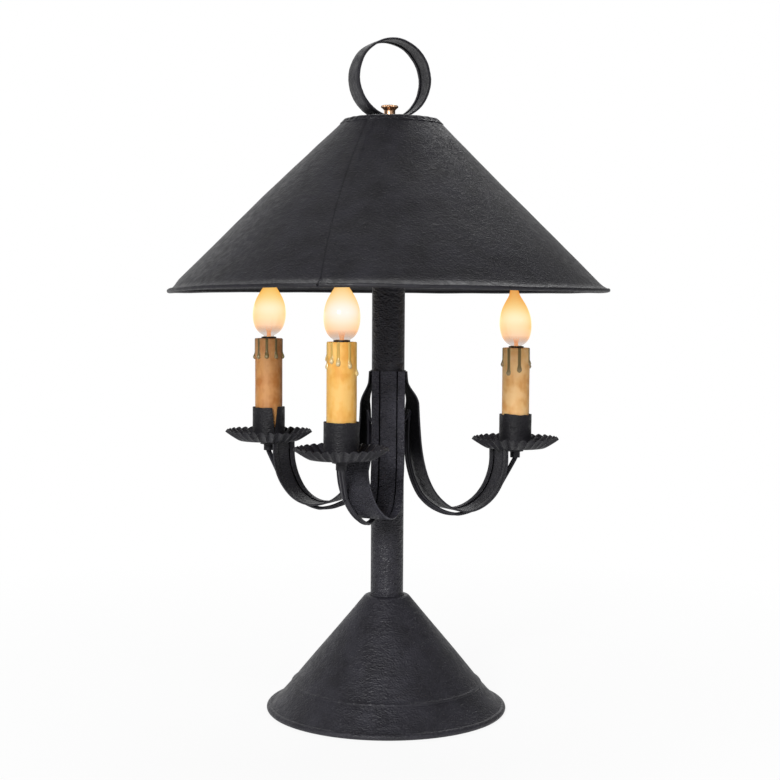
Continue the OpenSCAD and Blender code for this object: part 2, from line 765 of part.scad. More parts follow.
module knob_washer() {
  color(brass_colour) tube(knob_washer_r, rod_r + run_gap, knob_washer_z, knob_washer_z + knob_washer_t);
}

module finial_knob() {
  flange_h = 2.7;
  flange_z = knob_h - flange_h;
  taper_h = 2.6;
  teeth = 28;
  color(brass_colour) translate([0, 0, knob_z]) difference() {
    rotate_extrude() polygon([
      [0, 0], [knob_waist_r + 0.9, 0], [knob_waist_r + 0.9, 0.8], [knob_waist_r, 1.8],
      [knob_waist_r, flange_z - taper_h], [knob_r - 0.6, flange_z], [knob_r, flange_z + 0.4],
      [knob_r, knob_h - 0.5], [knob_r - 0.6, knob_h], [3.4, knob_h], [2.8, knob_h - 0.5],
      [0, knob_h - 0.5]
    ]);
    for (k = [0 : teeth - 1])
      rotate([0, 0, k * 360 / teeth]) translate([knob_r + 0.25, 0, flange_z - 1])
        cylinder(r = 0.55, h = flange_h + 2, $fn = 16);
    translate([0, 0, -1]) cylinder(r = rod_r + run_gap, h = knob_h - 2);
  }
}

base_cone();
base_rim_wire();
base_plate();
base_weight();
felt_pad();
cord_bushing();
post_tube();
post_cap();
centre_rod();
rod_nuts();
rod_washers();
arm(FRONT);  // arm_front
arm(RIGHT);  // arm_right
arm(LEFT);  // arm_left
drip_pan(FRONT);  // drip_pan_front
drip_pan(RIGHT);  // drip_pan_right
drip_pan(LEFT);  // drip_pan_left
candle_cup(FRONT);  // candle_cup_front
candle_cup(RIGHT);  // candle_cup_right
candle_cup(LEFT);  // candle_cup_left
nipples();
nipple_locknuts();
socket_leg(FRONT);  // socket_leg_front
socket_leg(RIGHT);  // socket_leg_right
socket_leg(LEFT);  // socket_leg_left
socket_body(FRONT);  // socket_body_front
socket_body(RIGHT);  // socket_body_right
socket_body(LEFT);  // socket_body_left
screw_shell(FRONT);  // screw_shell_front
screw_shell(RIGHT);  // screw_shell_right
screw_shell(LEFT);  // screw_shell_left
candle_sleeve(FRONT);  // candle_sleeve_front
candle_sleeve(RIGHT);  // candle_sleeve_right
candle_sleeve(LEFT);  // candle_sleeve_left
bulb_glass(FRONT);  // bulb_glass_front
bulb_glass(RIGHT);  // bulb_glass_right
bulb_glass(LEFT);  // bulb_glass_left
bulb_base(FRONT);  // bulb_base_front
bulb_base(RIGHT);  // bulb_base_right
bulb_base(LEFT);  // bulb_base_left
filament(FRONT);  // filament_front
filament(RIGHT);  // filament_right
filament(LEFT);  // filament_left
lead(FRONT);  // lead_front
lead(RIGHT);  // lead_right
lead(LEFT);  // lead_left
shade_cone();
shade_rim_wire();
shade_cap();
ring_hoop();
knob_washer();
finial_knob();
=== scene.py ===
"""Three-light table lamp of painted tinplate, dressed over its CAD frame.

Pieces are worked out in millimetres and degrees, and Mesh.build makes them in metres.
"""

import logging
import math
from dataclasses import dataclass, field
from enum import Enum
from typing import Callable, Sequence

import bmesh
import bpy
from mathutils import Matrix, Vector, noise


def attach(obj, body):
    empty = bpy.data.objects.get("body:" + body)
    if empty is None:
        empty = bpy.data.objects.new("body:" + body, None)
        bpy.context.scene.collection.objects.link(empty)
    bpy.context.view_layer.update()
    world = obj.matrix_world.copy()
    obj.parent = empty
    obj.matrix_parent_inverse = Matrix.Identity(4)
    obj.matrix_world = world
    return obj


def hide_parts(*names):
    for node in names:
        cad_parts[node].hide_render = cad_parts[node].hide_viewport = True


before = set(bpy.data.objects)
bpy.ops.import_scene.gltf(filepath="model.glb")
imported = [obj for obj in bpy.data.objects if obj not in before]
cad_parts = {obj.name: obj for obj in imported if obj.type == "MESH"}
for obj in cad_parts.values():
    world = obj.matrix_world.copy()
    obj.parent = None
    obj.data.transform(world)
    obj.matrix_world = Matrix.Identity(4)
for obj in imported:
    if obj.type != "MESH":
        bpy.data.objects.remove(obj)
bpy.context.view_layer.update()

log = logging.getLogger("lamp")
MM = 0.001
TURN = 2.0 * math.pi
UP = Vector((0.0, 0.0, 1.0))

Place = Sequence[float] | Vector
Ring = list[Vector]
Face = tuple[int, ...]
Pair = tuple[float, float]
Triple = tuple[float, float, float]


# ---------------------------------------------------------------- small geometry


class Side(Enum):
    """The three lights, named as one faces the lamp."""

    FRONT = "front"
    RIGHT = "right"
    LEFT = "left"


class Wax(Enum):
    """Three tones of wax for the candle sleeves, one for each light."""

    TAN = "tan"
    PALE = "pale"
    GOLD = "gold"


def bearing(az: float) -> Vector:
    """Gives the plan direction of a bearing, in degrees from the front."""
    return Vector((math.sin(math.radians(az)), -math.cos(math.radians(az)), 0.0))


def across(az: float) -> Vector:
    """Gives the plan direction that lies to the right of a bearing."""
    return Vector((math.cos(math.radians(az)), math.sin(math.radians(az)), 0.0))


def evenly(count: int) -> list[float]:
    """Gives bearings that stand evenly round a full turn."""
    return [k * 360.0 / count for k in range(count)]


def smooth(x: float, low: float, high: float) -> float:
    """Rises from 0 to 1 between two values without a corner."""
    t = min(max((x - low) / (high - low), 0.0), 1.0)
    return t * t * (3.0 - 2.0 * t)


def bump(x: float, middle: float, half: float) -> float:
    """Gives a rounded hump of height 1 and the given half width."""
    return math.exp(-(((x - middle) / half) ** 2))


def drift(x: float, y: float, z: float) -> float:
    """Gives a slow unevenness between -1 and 1, the same at the same place."""
    return noise.noise(Vector((x, y, z)))


def hand_wave(az: float, s: float, size: float, height: float, seed: float) -> float:
    """Gives the unevenness of hand-worked sheet, in millimetres.

    Args:
        az: bearing in degrees.
        s: way along the sheet in millimetres.
        size: rough width of a dent along the sheet.
        height: the largest rise.
        seed: picks another pattern.

    Returns:
        How far the sheet stands out there.
    """
    a = math.radians(az)
    return height * drift(math.cos(a) * 1.9 + seed, math.sin(a) * 1.9 - seed, s / size)


def lookup(x: float, table: Sequence[Pair]) -> float:
    """Reads a table of x and y with straight lines between its rows.

    Args:
        x: where to read.
        table: rows in rising order of x.

    Returns:
        The y there, held level past both ends.
    """
    if x <= table[0][0]:
        return table[0][1]
    for (x0, y0), (x1, y1) in zip(table, table[1:]):
        if x <= x1:
            return y0 + (y1 - y0) * (x - x0) / max(x1 - x0, 1e-9)
    return table[-1][1]


def bezier(steps: int, *held: Place) -> Ring:
    """Walks a cubic curve.

    Args:
        steps: how many points to give, without the first control point.
        *held: its four control points.

    Returns:
        The points, ending on the last control point.
    """
    p = [Vector(q) for q in held]
    out = []
    for k in range(1, steps + 1):
        t = k / steps
        s = 1.0 - t
        out.append(s**3 * p[0] + 3 * s * s * t * p[1] + 3 * s * t * t * p[2] + t**3 * p[3])
    return out


def refine(corners: Sequence[Place], step: float) -> Ring:
    """Splits a line's long stretches.

    Args:
        corners: the line's points.
        step: about how long each new stretch is.

    Returns:
        The points with those between them.
    """
    line = [Vector(p) for p in corners]
    out = [line[0]]
    for a, b in zip(line, line[1:]):
        n = max(1, round((b - a).length / step))
        out += [a.lerp(b, k / n) for k in range(1, n + 1)]
    return out


def softened(corners: Sequence[Place], radius: float, steps: int = 4) -> Ring:
    """Rounds a line's inner corners.

    Args:
        corners: the line's points.
        radius: how far from each corner its round starts.
        steps: stretches in each round.

    Returns:
        The line with a short curve in place of each inner corner.
    """
    line = [Vector(p) for p in corners]
    out = [line[0]]
    for before, here, after in zip(line, line[1:], line[2:]):
        a = here + (before - here).normalized() * min(radius, (before - here).length * 0.45)
        b = here + (after - here).normalized() * min(radius, (after - here).length * 0.45)
        shares = [k / steps for k in range(steps + 1)]
        out += [a.lerp(here, t).lerp(here.lerp(b, t), t) for t in shares]
    return out + [line[-1]]


def inward(line: Sequence[Vector], depth: float) -> Ring:
    """Offsets a line of r and z to the side below and inside it.

    Args:
        line: points that run outwards and down.
        depth: how far to go.

    Returns:
        One offset point for each point.
    """
    out = []
    for k, here in enumerate(line):
        way = (line[min(k + 1, len(line) - 1)] - line[max(k - 1, 0)]).normalized()
        out.append(here + depth * Vector((way.y, -way.x)))
    return out


def arc(middle: Pair, radius: float, start: float, stop: float, steps: int) -> Ring:
    """Walks an arc in r and z.

    Args:
        middle: its centre.
        radius: its radius.
        start: the first angle in degrees.
        stop: the last angle in degrees.
        steps: how many stretches to give.

    Returns:
        The points with both ends.
    """
    angles = [math.radians(start + (stop - start) * k / steps) for k in range(steps + 1)]
    return [Vector(middle) + radius * Vector((math.cos(a), math.sin(a))) for a in angles]


def loft(
    rings: Sequence[Ring], around: bool = True, along: bool = False, ends: bool = False
) -> tuple[Ring, list[Face]]:
    """Skins rings that hold equally many points.

    Args:
        rings: the rings in order.
        around: whether each ring's last point joins its first.
        along: whether the last ring joins the first.
        ends: whether the first and last rings are closed by a face.

    Returns:
        The points and the faces.
    """
    m, n = len(rings), len(rings[0])
    faces: list[Face] = []
    for k in range(m if along else m - 1):
        a, b = k * n, ((k + 1) % m) * n
        for j in range(n if around else n - 1):
            i = (j + 1) % n
            faces.append((a + j, a + i, b + i, b + j))
    if ends:
        faces.append(tuple(reversed(range(n))))
        faces.append(tuple((m - 1) * n + j for j in range(n)))
    return [p for ring in rings for p in ring], faces


def turned(
    profile: Ring, count: int, shape: Callable[[Vector, float, int], Vector]
) -> tuple[Ring, list[Face]]:
    """Turns a closed outline of r and z about the z axis.

    Args:
        profile: the outline.
        count: how many times it stands round the turn.
        shape: gives the point of r and z for an outline point, a bearing and its index.

    Returns:
        The points and the faces.
    """
    rings = []
    for az in evenly(count):
        moved = [shape(p, az, k) for k, p in enumerate(profile)]
        rings.append([bearing(az) * q.x + UP * q.y for q in moved])
    return loft(rings, along=True)


class Mesh:
    """Gathers points and faces in millimetres, and makes them one object."""

    def __init__(self, name: str) -> None:
        """Starts an empty mesh with the piece's name.

        Args:
            name: the piece's name.
        """
        self.name = name
        self.points: Ring = []
        self.faces: list[Face] = []
        self.marks: dict[str, list[float]] = {}

    def add(self, made: tuple[Ring, list[Face]], **marks: Sequence[float]) -> "Mesh":
        """Adds points and faces.

        Args:
            made: what loft gives.
            **marks: values for each point, kept as attributes of that name.

        Returns:
            This mesh.
        """
        base = len(self.points)
        points, faces = made
        self.points += points
        self.faces += [tuple(base + i for i in f) for f in faces]
        for name in set(self.marks) | set(marks):
            kept = self.marks.setdefault(name, [0.0] * base)
            kept += list(marks.get(name, [0.0] * len(points)))
        return self

    def build(self, corner: float = 35.0) -> bpy.types.Object:
        """Makes the object, smooth except across sharp corners.

        Args:
            corner: the angle in degrees from which an edge stays sharp.

        Returns:
            The linked object.
        """
        mesh = bpy.data.meshes.new(self.name)
        mesh.from_pydata([tuple(p * MM) for p in self.points], [], self.faces)
        mesh.validate()
        for name, values in self.marks.items():
            mesh.attributes.new(name, "FLOAT", "POINT").data.foreach_set("value", values)
        mesh.polygons.foreach_set("use_smooth", [True] * len(mesh.polygons))
        mesh.set_sharp_from_angle(angle=math.radians(corner))
        mesh.update()
        obj = bpy.data.objects.new(self.name, mesh)
        bpy.context.scene.collection.objects.link(obj)
        return obj

    def dress(
        self, body: str, coat: bpy.types.Material, *nodes: str, corner: float, slot: str = "japanned_tin"
    ) -> None:
        """Makes a closed piece with its faces outwards, and dresses it.

        Args:
            body: the body that it rides on.
            coat: its finish.
            *nodes: the CAD nodes that it stands for.
            corner: the angle in degrees from which an edge stays sharp.
            slot: not used.
        """
        obj = self.build(corner)
        work = bmesh.new()
        work.from_mesh(obj.data)
        bmesh.ops.recalc_face_normals(work, faces=work.faces)
        work.to_mesh(obj.data)
        work.free()
        obj.data.materials.append(coat)
        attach(obj, body)
        if nodes:
            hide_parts(*nodes)
        log.info("%s rides on %s", obj.name, body)


def dress_nodes(coat: bpy.types.Material, *nodes: str) -> None:
    """Gives CAD nodes whose own shape is right their finish.

    Args:
        coat: the finish.
        *nodes: the nodes' names.
    """
    for node in nodes:
        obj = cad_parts[node]
        obj.data.materials.clear()
        obj.data.materials.append(coat)


# ---------------------------------------------------------------- finishes


def linear(colour: str) -> tuple[float, ...]:
    """Turns an sRGB hex colour to linear values with full alpha."""
    value = [int(colour[i : i + 2], 16) / 255.0 for i in (1, 3, 5)]
    return tuple([v / 12.92 if v <= 0.04045 else ((v + 0.055) / 1.055) ** 2.4 for v in value] + [1.0])


# Some inputs go by number. A map range has its value, its range and its new range as 0 to 4. A
# colour mix has its share as 0 and its two colours as 6 and 7, and gives its colour as output 2.


def feed(node: bpy.types.Node, inputs: dict[str | int, object]) -> None:
    """Links or sets a node's inputs.

    Args:
        node: the node.
        inputs: what each input gets, by its name or number: a socket, a node for its first
            output, an sRGB hex colour or a value.
    """
    for key, given in inputs.items():
        source = given.outputs[0] if isinstance(given, bpy.types.Node) else given
        if isinstance(source, bpy.types.NodeSocket):
            node.id_data.links.new(source, node.inputs[key])
        else:
            node.inputs[key].default_value = linear(source) if isinstance(source, str) else source


def add_node(
    tree: bpy.types.NodeTree,
    kind: str,
    inputs: dict[str | int, object] | None = None,
    stops: Sequence[tuple[float, str]] = (),
    **settings: object,
) -> bpy.types.Node:
    """Adds a node with its settings and links.

    Args:
        tree: the tree that takes it.
        kind: the node's type, without the word ShaderNode.
        inputs: what feed takes.
        stops: places and sRGB hex colours, where the node holds a colour ramp.
        **settings: attributes of the node.

    Returns:
        The node.
    """
    node = tree.nodes.new("ShaderNode" + kind)
    for name, value in settings.items():
        setattr(node, name, value)
    feed(node, inputs or {})
    for _ in stops[2:]:
        node.color_ramp.elements.new(0.5)
    for k, (at, colour) in enumerate(stops):
        node.color_ramp.elements[k].position = at
        node.color_ramp.elements[k].color = linear(colour)
    return node


def mottle(
    tree: bpy.types.NodeTree, size: float, detail: float = 2.0, rough: float = 0.5, tall: float = 1.0
) -> bpy.types.Node:
    """Mottles a surface in a pattern of real size.

    Args:
        tree: the tree that takes it.
        size: about how wide a blob is, in millimetres.
        detail: how many finer sizes lie on it.
        rough: how strong they are.
        tall: how many times closer together the blobs lie up and down than round.

    Returns:
        The node that holds the pattern, from 0 to 1.
    """
    where = add_node(tree, "TexCoord").outputs["Object"]
    squeezed = add_node(tree, "Mapping", {"Vector": where, "Scale": (1.0, 1.0, tall)})
    pattern = {"Vector": squeezed, "Scale": 1.0 / (size * MM), "Detail": detail, "Roughness": rough}
    return add_node(tree, "TexNoise", pattern)


@dataclass(frozen=True)
class Finish:
    """A finish with one principled shader."""

    name: str

    def build(self) -> bpy.types.Material:
        """Makes the material, and feeds its shader.

        Returns:
            The material.
        """
        material = bpy.data.materials.new(self.name)
        material.use_nodes = True
        tree = material.node_tree
        feed(tree.nodes["Principled BSDF"], self.coat(tree))
        return material

    def coat(self, tree: bpy.types.NodeTree) -> dict[str, object]:
        """Gives what each input of the shader gets."""
        raise NotImplementedError


@dataclass(frozen=True)
class JapannedTin(Finish):
    """Tinplate brushed with thick black paint, which dries to a leathery wrinkle."""

    dark: str = "#1d1c21"
    light: str = "#2b2a31"
    worn: str = "#46454c"
    grain_mm: float = 1.9
    relief_mm: float = 0.5
    roughness: float = 0.46
    brushed: float = 1.7
    # The near-black of the painted shade in folds, seams and punch marks.
    painted_shade: str = "#060607"
    ior: float = 1.38
    cloud_mm: float = 24.0
    speck_mm: float = 1.1
    gloss_mm: float = 6.0

    def coat(self, tree: bpy.types.NodeTree) -> dict[str, object]:
        """Gives the paint: a near-black coat, pebbles of about 2 mm and a soft, uneven gloss.

        Args:
            tree: the material's tree, which takes the nodes.

        Returns:
            What each input of the shader gets, by its name.
        """
        clouds = mottle(tree, self.cloud_mm, 3.0, 0.6)
        black = add_node(tree, "ValToRGB", {0: clouds}, [(0.3, self.dark), (0.72, self.light)])
        specks = {0: mottle(tree, self.speck_mm, 1.0), 1: 0.66, 2: 0.8, 4: 0.45}
        worn = {0: add_node(tree, "MapRange", specks), 6: black, 7: self.worn}
        worn = add_node(tree, "Mix", worn, data_type="RGBA").outputs[2]
        # Painted shade: the folds by the hems, the lampshade's seam and punch marks, the ring's hem line and
        # the backs of the straps by the post are painted near black and lose their gloss. This stands in for
        # the shade that falls there.
        crevice = add_node(tree, "Attribute", attribute_name="crevice").outputs["Fac"]
        colour = add_node(tree, "Mix", {0: crevice, 6: worn, 7: self.painted_shade}, data_type="RGBA")
        shine = add_node(tree, "MapRange", {0: crevice, 3: 0.5, 4: 0.04})
        least, most = self.roughness - 0.08, self.roughness + 0.1
        gloss = {0: mottle(tree, self.gloss_mm), 1: 0.3, 2: 0.7, 3: least, 4: most}
        gloss = add_node(tree, "MapRange", gloss)
        return {
            "Base Color": colour.outputs[2],
            "Roughness": add_node(tree, "Math", {0: gloss, 1: crevice}, operation="MAXIMUM"),
            "Specular IOR Level": shine,
            "IOR": self.ior,
            "Normal": self.wrinkle(tree),
        }

    def wrinkle(self, tree: bpy.types.NodeTree) -> bpy.types.Node:
        """Gives the wrinkle's slopes: soft swells, and pebbles whose edges run into each other.

        Args:
            tree: the material's tree, which takes the nodes.

        Returns:
            The last bump, whose slopes hold both.
        """
        # The brush went round, so both are shorter up and down.
        where = add_node(tree, "TexCoord").outputs["Object"]
        where = add_node(tree, "Mapping", {"Vector": where, "Scale": (1.0, 1.0, self.brushed)})
        grain, relief = self.grain_mm * MM, self.relief_mm * MM
        bend = add_node(tree, "TexNoise", {"Vector": where, "Scale": 0.45 / grain, "Detail": 1.0})
        swirl = {0: bend.outputs["Color"], "Scale": grain * 1.6}
        swirl = add_node(tree, "VectorMath", swirl, operation="SCALE")
        moved = add_node(tree, "VectorMath", {0: where, 1: swirl}, operation="ADD")
        cells = {"Vector": moved, "Scale": 1.0 / grain, "Smoothness": 0.7}
        cells = add_node(tree, "TexVoronoi", cells, feature="SMOOTH_F1")
        swells = mottle(tree, self.grain_mm * 3.0, tall=self.brushed)
        soft = add_node(tree, "Bump", {"Height": swells, "Strength": 0.6, "Distance": relief * 2.0})
        fine = {"Height": cells, "Normal": soft, "Strength": 0.9, "Distance": relief}
        return add_node(tree, "Bump", fine)


@dataclass(frozen=True)
class WaxedCard(Finish):
    """A card tube dipped in coloured wax, with darker runs cast on its upper end."""

    body: str = "#bd8148"
    pale: str = "#c88f54"
    warm: str = "#b17034"
    run: str = "#74653f"
    run_end: str = "#8f8058"
    streak_mm: float = 3.4
    cloud_mm: float = 13.0
    grain_mm: float = 1.1
    relief_mm: float = 0.05

    def coat(self, tree: bpy.types.NodeTree) -> dict[str, object]:
        """Gives the wax: a satin coat, orange clouds and olive runs read from the mesh.

        Args:
            tree: the material's tree, which takes the nodes.

        Returns:
            What each input of the shader gets, by its name.
        """
        streaks, clouds = mottle(tree, self.streak_mm, tall=0.3), mottle(tree, self.cloud_mm)
        both = add_node(tree, "Math", {0: streaks, 1: clouds, 2: clouds}, operation="MULTIPLY_ADD")
        share = add_node(tree, "MapRange", {0: both, 1: 0.42, 2: 0.95})
        wax = add_node(tree, "ValToRGB", {0: share}, [(0.15, self.warm), (0.5, self.body), (0.9, self.pale)])
        run, drop = [
            add_node(tree, "Attribute", attribute_name=name).outputs["Fac"] for name in ("run", "drop")
        ]
        olive = add_node(tree, "ValToRGB", {0: drop}, [(0.0, self.run), (1.0, self.run_end)])
        colour = add_node(tree, "Mix", {0: run, 6: wax, 7: olive}, data_type="RGBA")
        rise = {
            "Height": mottle(tree, self.grain_mm, tall=0.5), "Strength": 0.35, "Distance": self.relief_mm * MM
        }
        return {
            "Base Color": colour.outputs[2],
            "Subsurface Weight": 0.12,
            "Subsurface Radius": (0.004, 0.002, 0.001),
            "Roughness": add_node(tree, "MapRange", {0: run, 3: 0.55, 4: 0.22}),
            "Normal": add_node(tree, "Bump", rise),
        }


@dataclass(frozen=True)
class DippedGlass(Finish):
    """A glowing bulb dipped in amber silicone, which leaves its neck as clear glass."""

    low: float
    high: float
    lower: str = "#ffe8b4"
    middle: str = "#fffbdc"
    upper: str = "#fde094"
    tip: str = "#f8c668"
    neck: tuple[str, ...] = ("#f4cfb0", "#f8ccae", "#fbd6b0")
    point: str = "#dc9a54"
    aslant: str = "#ffdc9c"
    silicone: str = "#4a2c12"

    def coat(self, tree: bpy.types.NodeTree) -> dict[str, object]:
        """Gives the glass: amber at the tip, cream in the middle, pink over a clear neck.

        Args:
            tree: the material's tree, which takes the nodes.

        Returns:
            What each input of the shader gets, by its name.
        """
        where = add_node(tree, "TexCoord").outputs["Object"]
        up = add_node(tree, "SeparateXYZ", {"Vector": where}).outputs["Z"]
        height = add_node(tree, "MapRange", {0: up, 1: self.low, 2: self.high})
        colours = (*self.neck, self.lower, self.middle, self.upper, self.tip, self.point)
        stops = list(zip((0.03, 0.1, 0.17, 0.27, 0.4, 0.54, 0.7, 0.86), colours))
        glow = add_node(tree, "ValToRGB", {0: height}, stops)
        glow.color_ramp.interpolation = "B_SPLINE"
        # Seen aslant, the dip is thicker and lets through less of the wire's light.
        edge = add_node(tree, "LayerWeight", {"Blend": 0.55}).outputs["Facing"]
        rim = {0: edge, 6: glow, 7: self.aslant}
        rim = add_node(tree, "Mix", rim, data_type="RGBA", blend_type="MULTIPLY")
        clear = add_node(tree, "MapRange", {0: height, 1: 0.03, 2: 0.15, 3: 0.3, 4: 1.0})
        return {
            "Base Color": self.silicone,
            "Roughness": 0.14,
            "IOR": 1.45,
            "Emission Color": rim.outputs[2],
            "Emission Strength": clear,
            "Alpha": clear,
        }


@dataclass(frozen=True)
class Glow(Finish):
    """Tungsten wire at work, brighter where it is hottest."""

    colour: str = "#ffc08a"
    strength: float = 0.9
    cooler: str = "#ff9a66"
    wire: str = "#6b4a35"
    spot_mm: float = 2.0

    def coat(self, tree: bpy.types.NodeTree) -> dict[str, object]:
        """Gives the glow of hot wire.

        Args:
            tree: the material's tree, which takes the nodes.

        Returns:
            What each input of the shader gets, by its name.
        """
        spots = mottle(tree, self.spot_mm, 1.0)
        heat = add_node(tree, "ValToRGB", {0: spots}, [(0.3, self.cooler), (0.7, self.colour)])
        return {"Base Color": self.wire, "Emission Color": heat, "Emission Strength": self.strength}


@dataclass(frozen=True)
class Metal(Finish):
    """Bare metal, turned, drawn or plated."""

    dark: str
    light: str
    roughness: float
    mark_mm: float
    relief_mm: float = 0.02

    def coat(self, tree: bpy.types.NodeTree) -> dict[str, object]:
        """Gives the metal: patches of tarnish and the marks of the tool.

        Args:
            tree: the material's tree, which takes the nodes.

        Returns:
            What each input of the shader gets, by its name.
        """
        patches = mottle(tree, self.mark_mm * 2.5, 3.0, 0.6)
        tint = add_node(tree, "ValToRGB", {0: patches}, [(0.32, self.dark), (0.68, self.light)])
        marks = mottle(tree, self.mark_mm)
        gloss = {0: marks, 1: 0.3, 2: 0.7, 3: self.roughness - 0.08, 4: self.roughness + 0.1}
        lines = {"Height": marks, "Strength": 0.4, "Distance": self.relief_mm * MM}
        return {
            "Metallic": 1.0,
            "Base Color": tint,
            "Roughness": add_node(tree, "MapRange", gloss),
            "Normal": add_node(tree, "Bump", lines),
        }


@dataclass(frozen=True)
class Matte(Finish):
    """A dull non-metal such as felt, phenolic or cast iron under paint."""

    dark: str
    light: str
    roughness: float
    grain_mm: float
    relief_mm: float = 0.05
    fuzz: float = 0.0

    def coat(self, tree: bpy.types.NodeTree) -> dict[str, object]:
        """Gives the surface: a fine grain and, for felt, a soft nap.

        Args:
            tree: the material's tree, which takes the nodes.

        Returns:
            What each input of the shader gets, by its name.
        """
        grain = mottle(tree, self.grain_mm, 3.0, 0.65)
        least, most = self.roughness - 0.06, min(self.roughness + 0.06, 1.0)
        rise = {"Height": grain, "Strength": 0.5, "Distance": self.relief_mm * MM}
        return {
            "Base Color": add_node(tree, "ValToRGB", {0: grain}, [(0.3, self.dark), (0.7, self.light)]),
            "Roughness": add_node(tree, "MapRange", {0: grain, 1: 0.2, 2: 0.8, 3: least, 4: most}),
            "Sheen Weight": self.fuzz,
            "Normal": add_node(tree, "Bump", rise),
        }


class Finishes:
    """All the finishes of the lamp, each built once."""

    def __init__(self) -> None:
        """Builds the finishes."""
        # Painted light and shade: the paint is one black all over. The base's tones and, more, the front
        # strap's are painted lighter. Those of the lampshade, the side straps and pans and, darkest, the cups
        # are painted darker, for how brightly each part is lit.
        thin = ("#18171b", "#25242a", "#403f46")
        brightened_tones = ("#201f24", "#302f36", "#4a4950")
        thick = ("#2c2b32", "#403f48", "#56555d")
        shadowed_tones = ("#131216", "#1d1c21", "#333238")
        self.tin = JapannedTin("japanned_shade_brushed", *thin, 1.9, 0.24, 0.5, 1.3).build()
        self.base = JapannedTin("japanned_base_brushed", *brightened_tones, 2.1, 0.62, 0.5).build()
        self.post = JapannedTin("japanned_tube_brushed", grain_mm=2.3, relief_mm=1.0, roughness=0.43).build()
        self.strap = JapannedTin("japanned_strap_brushed", *thin, 2.0, 0.5, 0.5).build()
        self.front_strap = JapannedTin("japanned_front_strap", *thick, 2.0, 1.3, 0.42, 2.4).build()
        self.pan = JapannedTin("japanned_pan_brushed", *thin, 1.8, 0.4, 0.47).build()
        self.cup = JapannedTin("japanned_cup_brushed", *shadowed_tones, 1.8, 0.4, 0.55).build()
        self.cord = JapannedTin("painted_cord", grain_mm=1.2, relief_mm=0.06, roughness=0.42).build()
        pale = ("#eab573", "#f0c285", "#dfa15b", "#7d6a42", "#978560")
        gold = ("#e2ab53", "#e6b665", "#db9c40", "#bd9a52", "#cbb688")
        dips = {Wax.TAN: (), Wax.PALE: pale, Wax.GOLD: gold}
        self.wax = {wax: WaxedCard(f"{wax.value}_waxed_card", *dip).build() for wax, dip in dips.items()}
        self.brass = Metal("aged_brass_turned", "#a87a5a", "#efc7a2", 0.36, 1.2).build()
        self.thread = Metal("brass_drawn", "#9a7a3e", "#d3b064", 0.32, 1.5).build()
        self.zinc = Metal("steel_zinc_plated", "#8f9294", "#b9bbbd", 0.38, 2.0).build()
        self.iron = Matte("grey_iron_sand_cast", "#2f2c2b", "#4b4745", 0.8, 1.5, 0.25).build()
        self.felt = Matte("wool_felt_pressed", "#20331f", "#35503a", 0.95, 0.8, 0.3, 0.4).build()
        self.bushing = Matte("nylon_black_moulded", "#141414", "#1e1e1e", 0.45, 2.0, 0.01).build()
        self.phenolic = Matte("phenolic_black_moulded", "#171413", "#221e1c", 0.35, 3.0, 0.01).build()
        self.filament = Glow("tungsten_glowing").build()
        # The lead-in wires glow as a painted glint. They stand in for the filament's light catching them, not
        # for hot wire.
        self.wires = Glow("lead_in_wire_painted_glint", "#ff9a5c", 1.0).build()


# ---------------------------------------------------------------- base and post


@dataclass
class Base:
    """The cone base with its bead line and wired foot."""

    shoulder_r: float = 21.8
    shoulder_z: float = 111.7
    post_r: float = 15.95
    bead: Pair = (92.0, 27.0)
    bead_h: float = 0.9
    bead_form: tuple[Pair, ...] = (
        (-2.6, 0.0), (-1.7, 0.22), (-1.0, 0.8), (0.0, 1.0), (0.7, 0.86), (1.15, 0.45), (1.5, -0.05)
    )
    flare: Pair = (103.0, 14.5)
    rim_r: float = 113.6
    rim_z: float = 3.4
    roll_r: float = 3.0
    sheet: float = 0.6
    around: int = 360

    def outline(self) -> Ring:
        """Gives the closed outline of the sheet with its roll.

        Returns:
            Its points in r and z.
        """
        bead, shoulder = Vector(self.bead), Vector((self.shoulder_r, self.shoulder_z))
        down = (bead - shoulder).normalized()
        out = Vector((-down.y, down.x))
        rise = [bead + down * t + out * self.bead_h * h for t, h in self.bead_form]
        top = self.shoulder_z + 0.9
        line = softened([(self.post_r, top), (self.shoulder_r - 1.4, top), shoulder, rise[0]], 1.1)
        line += rise[1:]
        line += softened([rise[-1], self.flare, (self.rim_r - 2.1, self.rim_z + 3.0)], 5.0, 5)[1:]
        outer = refine(line, 2.4)
        roll = arc((self.rim_r, self.rim_z), self.roll_r, 118.0, -215.0, 30)
        return outer[:-1] + roll + inward(outer, self.sheet)[-2::-1]

    def build(self, finishes: Finishes) -> None:
        """Builds the base cone and dresses what it hides.

        Args:
            finishes: the lamp's finishes.
        """
        profile = self.outline()

        def shape(p: Vector, az: float, k: int) -> Vector:
            """Waves the cone and dents its rim.

            Args:
                p: a point of the outline, in r and z.
                az: its bearing in degrees.
                k: not used.

            Returns:
                The moved point.
            """
            wave = hand_wave(az, (p - profile[0]).length, 55.0, 0.55, 3.1)
            wave *= smooth(p.x, self.shoulder_r, self.shoulder_r + 12.0)
            rim = smooth(p.x, self.rim_r - 8.0, self.rim_r)
            off = wave * 0.6 * (1 - rim)
            dent = 0.25 * rim * abs(hand_wave(az, 0.0, 20.0, 1.0, 8.0))
            return Vector((p.x + off - dent, p.y + off))

        cone = Mesh("base_cone_sheet").add(turned(profile, self.around, shape))
        cone.dress("lamp", finishes.base, "base_cone", "base_rim_wire", corner=50.0)
        dress_nodes(finishes.base, "base_plate")
        dress_nodes(finishes.iron, "base_weight")
        dress_nodes(finishes.felt, "felt_pad")
        dress_nodes(finishes.bushing, "cord_bushing")


